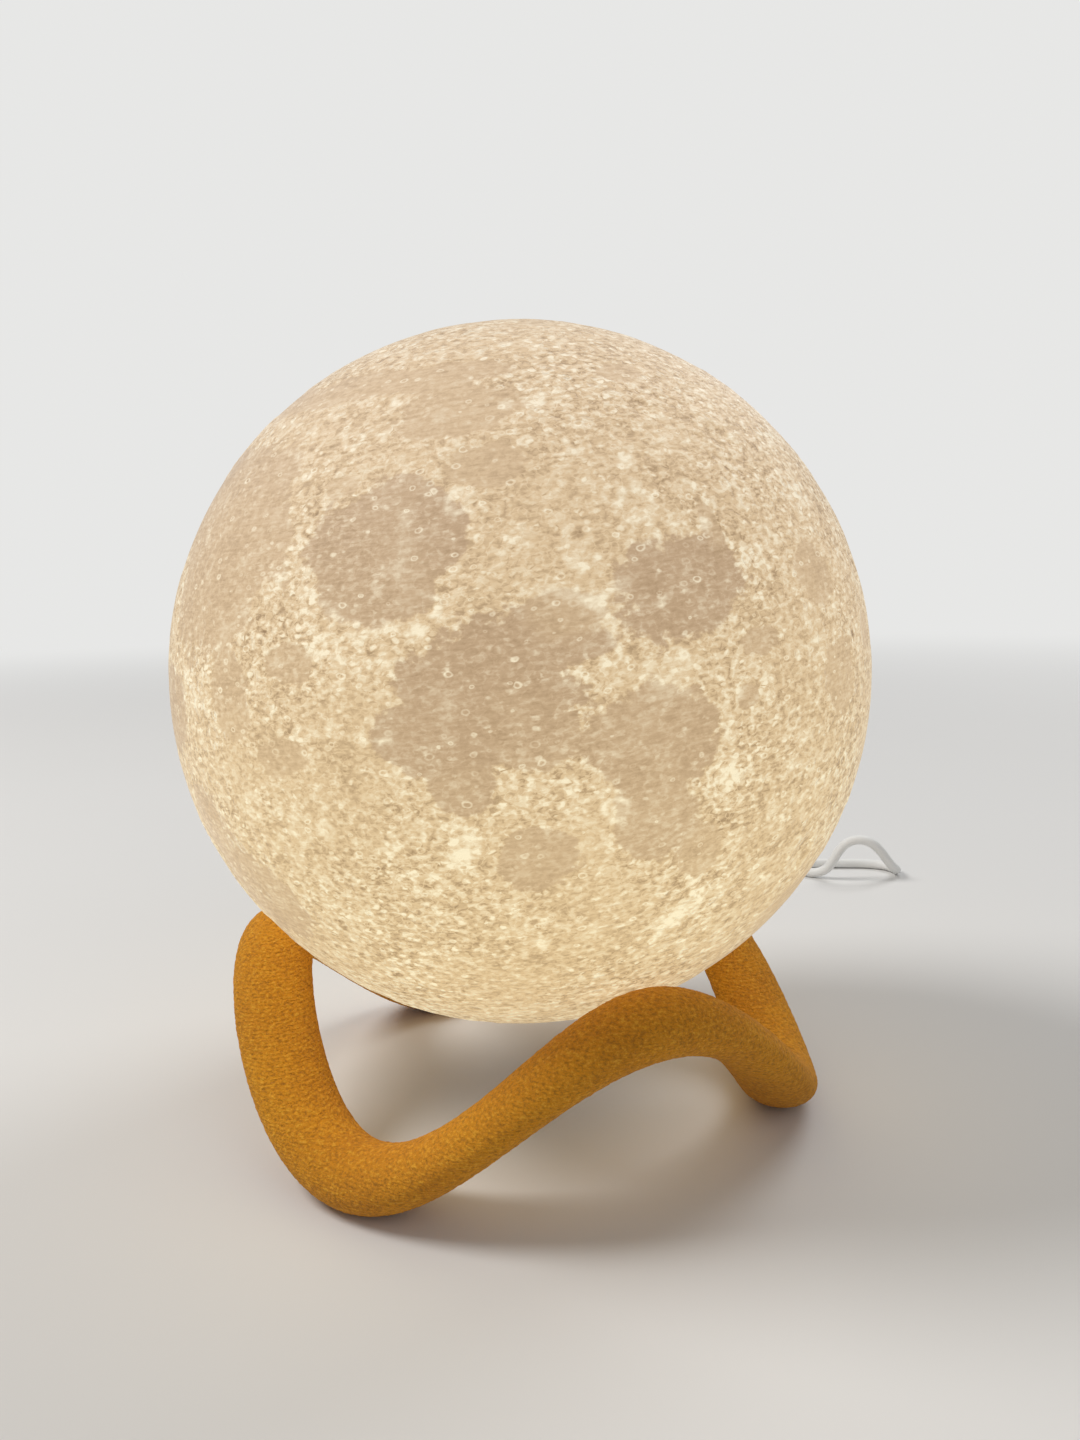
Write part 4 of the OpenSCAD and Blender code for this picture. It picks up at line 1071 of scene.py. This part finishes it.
def feltMaterial():
    material, tree, shader, coords = newMaterial("mustardFelt", Roughness=0.9, Sheen_Weight=0.12,
                                                 Sheen_Roughness=0.5, Sheen_Tint=rgb(236, 190, 70))
    grain = noise(tree, scaled(tree, coords, feltFlatten), 1.4 / ringStand["Grain Size"], 3.0, 0.65)
    ripples = addNode(tree, "ShaderNodeTexWave", {"Vector": coords, "Scale": 314 / 0.6, "Distortion": 5.0,
                      "Detail": 2.0, "Detail Scale": 1.2}, bands_direction="Z").outputs["Fac"]
    cloud = ramp(tree, noise(tree, coords, 60.0), 0.3, 0.7)
    body = mixColour(tree, cloud, feltColours["body"], feltColours["second"])
    # painted shade in the ripple grooves and grain hollows, and painted highlight on the grain tops, over
    # the felt's own tone
    for mask, share, tone in ((ripples, 0.12, "paintedPitShade"), (ramp(tree, grain, 0.52, 0.66), 0.6, "paintedTipHighlight"),
                              (ramp(tree, grain, 0.5, 0.34), 0.45, "paintedPitShade")):
        body = mixColour(tree, maths(tree, "MULTIPLY", mask, share), body, feltColours[tone])
    fibre = noise(tree, coords, 3400.0, 2.0, 0.7)
    setInputs(tree, shader, {"Base Color": body, "Roughness": ramp(tree, fibre, 0.3, 0.7, 0.98, 0.84)})
    bumped(tree, shader, addWeighted(tree, grain, (fibre, 0.5), (ripples, 0.17)), 1.0, 0.6 * mm)
    return material


# room: pale floor, soft lights

studio = {
    "floor": (0.72, 0.715, 0.705, 1),
    "floorReach": 4.0,
    "world": (0.80, 0.80, 0.80, 1),
    "worldLight": 0.3,
    "backdrop": (0.80, 0.80, 0.79, 1),
    "fadeFrom": 0.45,
    "fadeTo": 1.6,
    # name, place, target, size, watts, colour
    "lights": [
        ("keyLight", (-0.85, -0.6, 1.3), (0, 0, 0.05), 0.7, 16.0, (1.0, 0.98, 0.95)),
        ("fillLight", (1.1, -0.6, 0.9), (0, 0, 0.08), 1.0, 2.5, (0.96, 0.98, 1.0)),
        ("backLight", (0.2, 1.1, 1.3), (0, 0, 0.1), 0.9, 8.0, (1.0, 1.0, 1.0)),
    ],
}


def raysOf(tree, first, *others):
    # 1 for any of the kinds of ray named, 0 for the rest
    path = tree.nodes.new("ShaderNodeLightPath").outputs
    seen = path[first]
    for kind in others:
        seen = maths(tree, "MAXIMUM", seen, path[kind])
    return seen


def mixShader(tree, share, first, second):
    return addNode(tree, "ShaderNodeMixShader", {0: share, 1: first, 2: second}).outputs[0]


def fadeFloor(tree, shader, coords):
    # far from the lamp the floor turns into the background, for what the camera or a gloss sees
    away = addNode(tree, "ShaderNodeVectorMath", {0: coords}, operation="LENGTH").outputs["Value"]
    far = maths(tree, "MULTIPLY", ramp(tree, away, studio["fadeFrom"], studio["fadeTo"]),
                raysOf(tree, "Is Camera Ray", "Is Glossy Ray"))
    backdrop = addNode(tree, "ShaderNodeEmission", {"Color": studio["backdrop"], "Strength": 1.0})
    faded = mixShader(tree, far, shader.outputs[0], backdrop.outputs[0])
    # from below it is clear, so that the lamp's underside can be looked at
    under = tree.nodes.new("ShaderNodeNewGeometry").outputs["Backfacing"]
    clear = tree.nodes.new("ShaderNodeBsdfTransparent").outputs[0]
    setInputs(tree, tree.nodes["Material Output"], {"Surface": mixShader(tree, under, faded, clear)})


def buildWorld():
    world = bpy.data.worlds.new("studioWorld")
    bpy.context.scene.world = world
    world.use_nodes = True
    tree = world.node_tree
    seen = raysOf(tree, "Is Camera Ray", "Is Glossy Ray", "Is Transmission Ray")
    setInputs(tree, tree.nodes["Background"], {
        "Color": mixColour(tree, seen, studio["world"], studio["backdrop"]),
        "Strength": ramp(tree, seen, 0.0, 1.0, studio["worldLight"], 1.0, "LINEAR")})


def buildFloor():
    side = studio["floorReach"]
    points = [(-side, -side, 0), (side, -side, 0), (side, side, 0), (-side, side, 0)]
    material, tree, shader, coords = newMaterial("paleFloor", Roughness=0.75)
    tone = noise(tree, coords, 8.0, 2.0)
    floorTint = mixColour(tree, tone, darker(studio["floor"], 0.985), studio["floor"])
    setInputs(tree, shader, {"Base Color": floorTint})
    fadeFloor(tree, shader, coords)
    floor = newMesh("studio_floor", points, [(0, 1, 2, 3)], material)


def buildLights():
    for name, place, target, size, watts, colour in studio["lights"]:
        data = bpy.data.lights.new(name, "AREA")
        data.shape = "DISK"
        data.size = size
        data.energy = watts
        data.color = colour
        aim = (Vector(target) - Vector(place)).to_track_quat("-Z", "Y")
        addObject(name, data).matrix_world = Matrix.Translation(place) @ aim.to_matrix().to_4x4()


def buildRoom():
    buildWorld()
    buildFloor()
    buildLights()
    bpy.context.scene.view_settings.view_transform = "Standard"
    print("room ready")


buildCamera()
partMaterials = dressParts()
buildLead(partMaterials["lead_white"])
buildStand(feltMaterial())
buildGlobe(moonMaterial())
buildRoom()
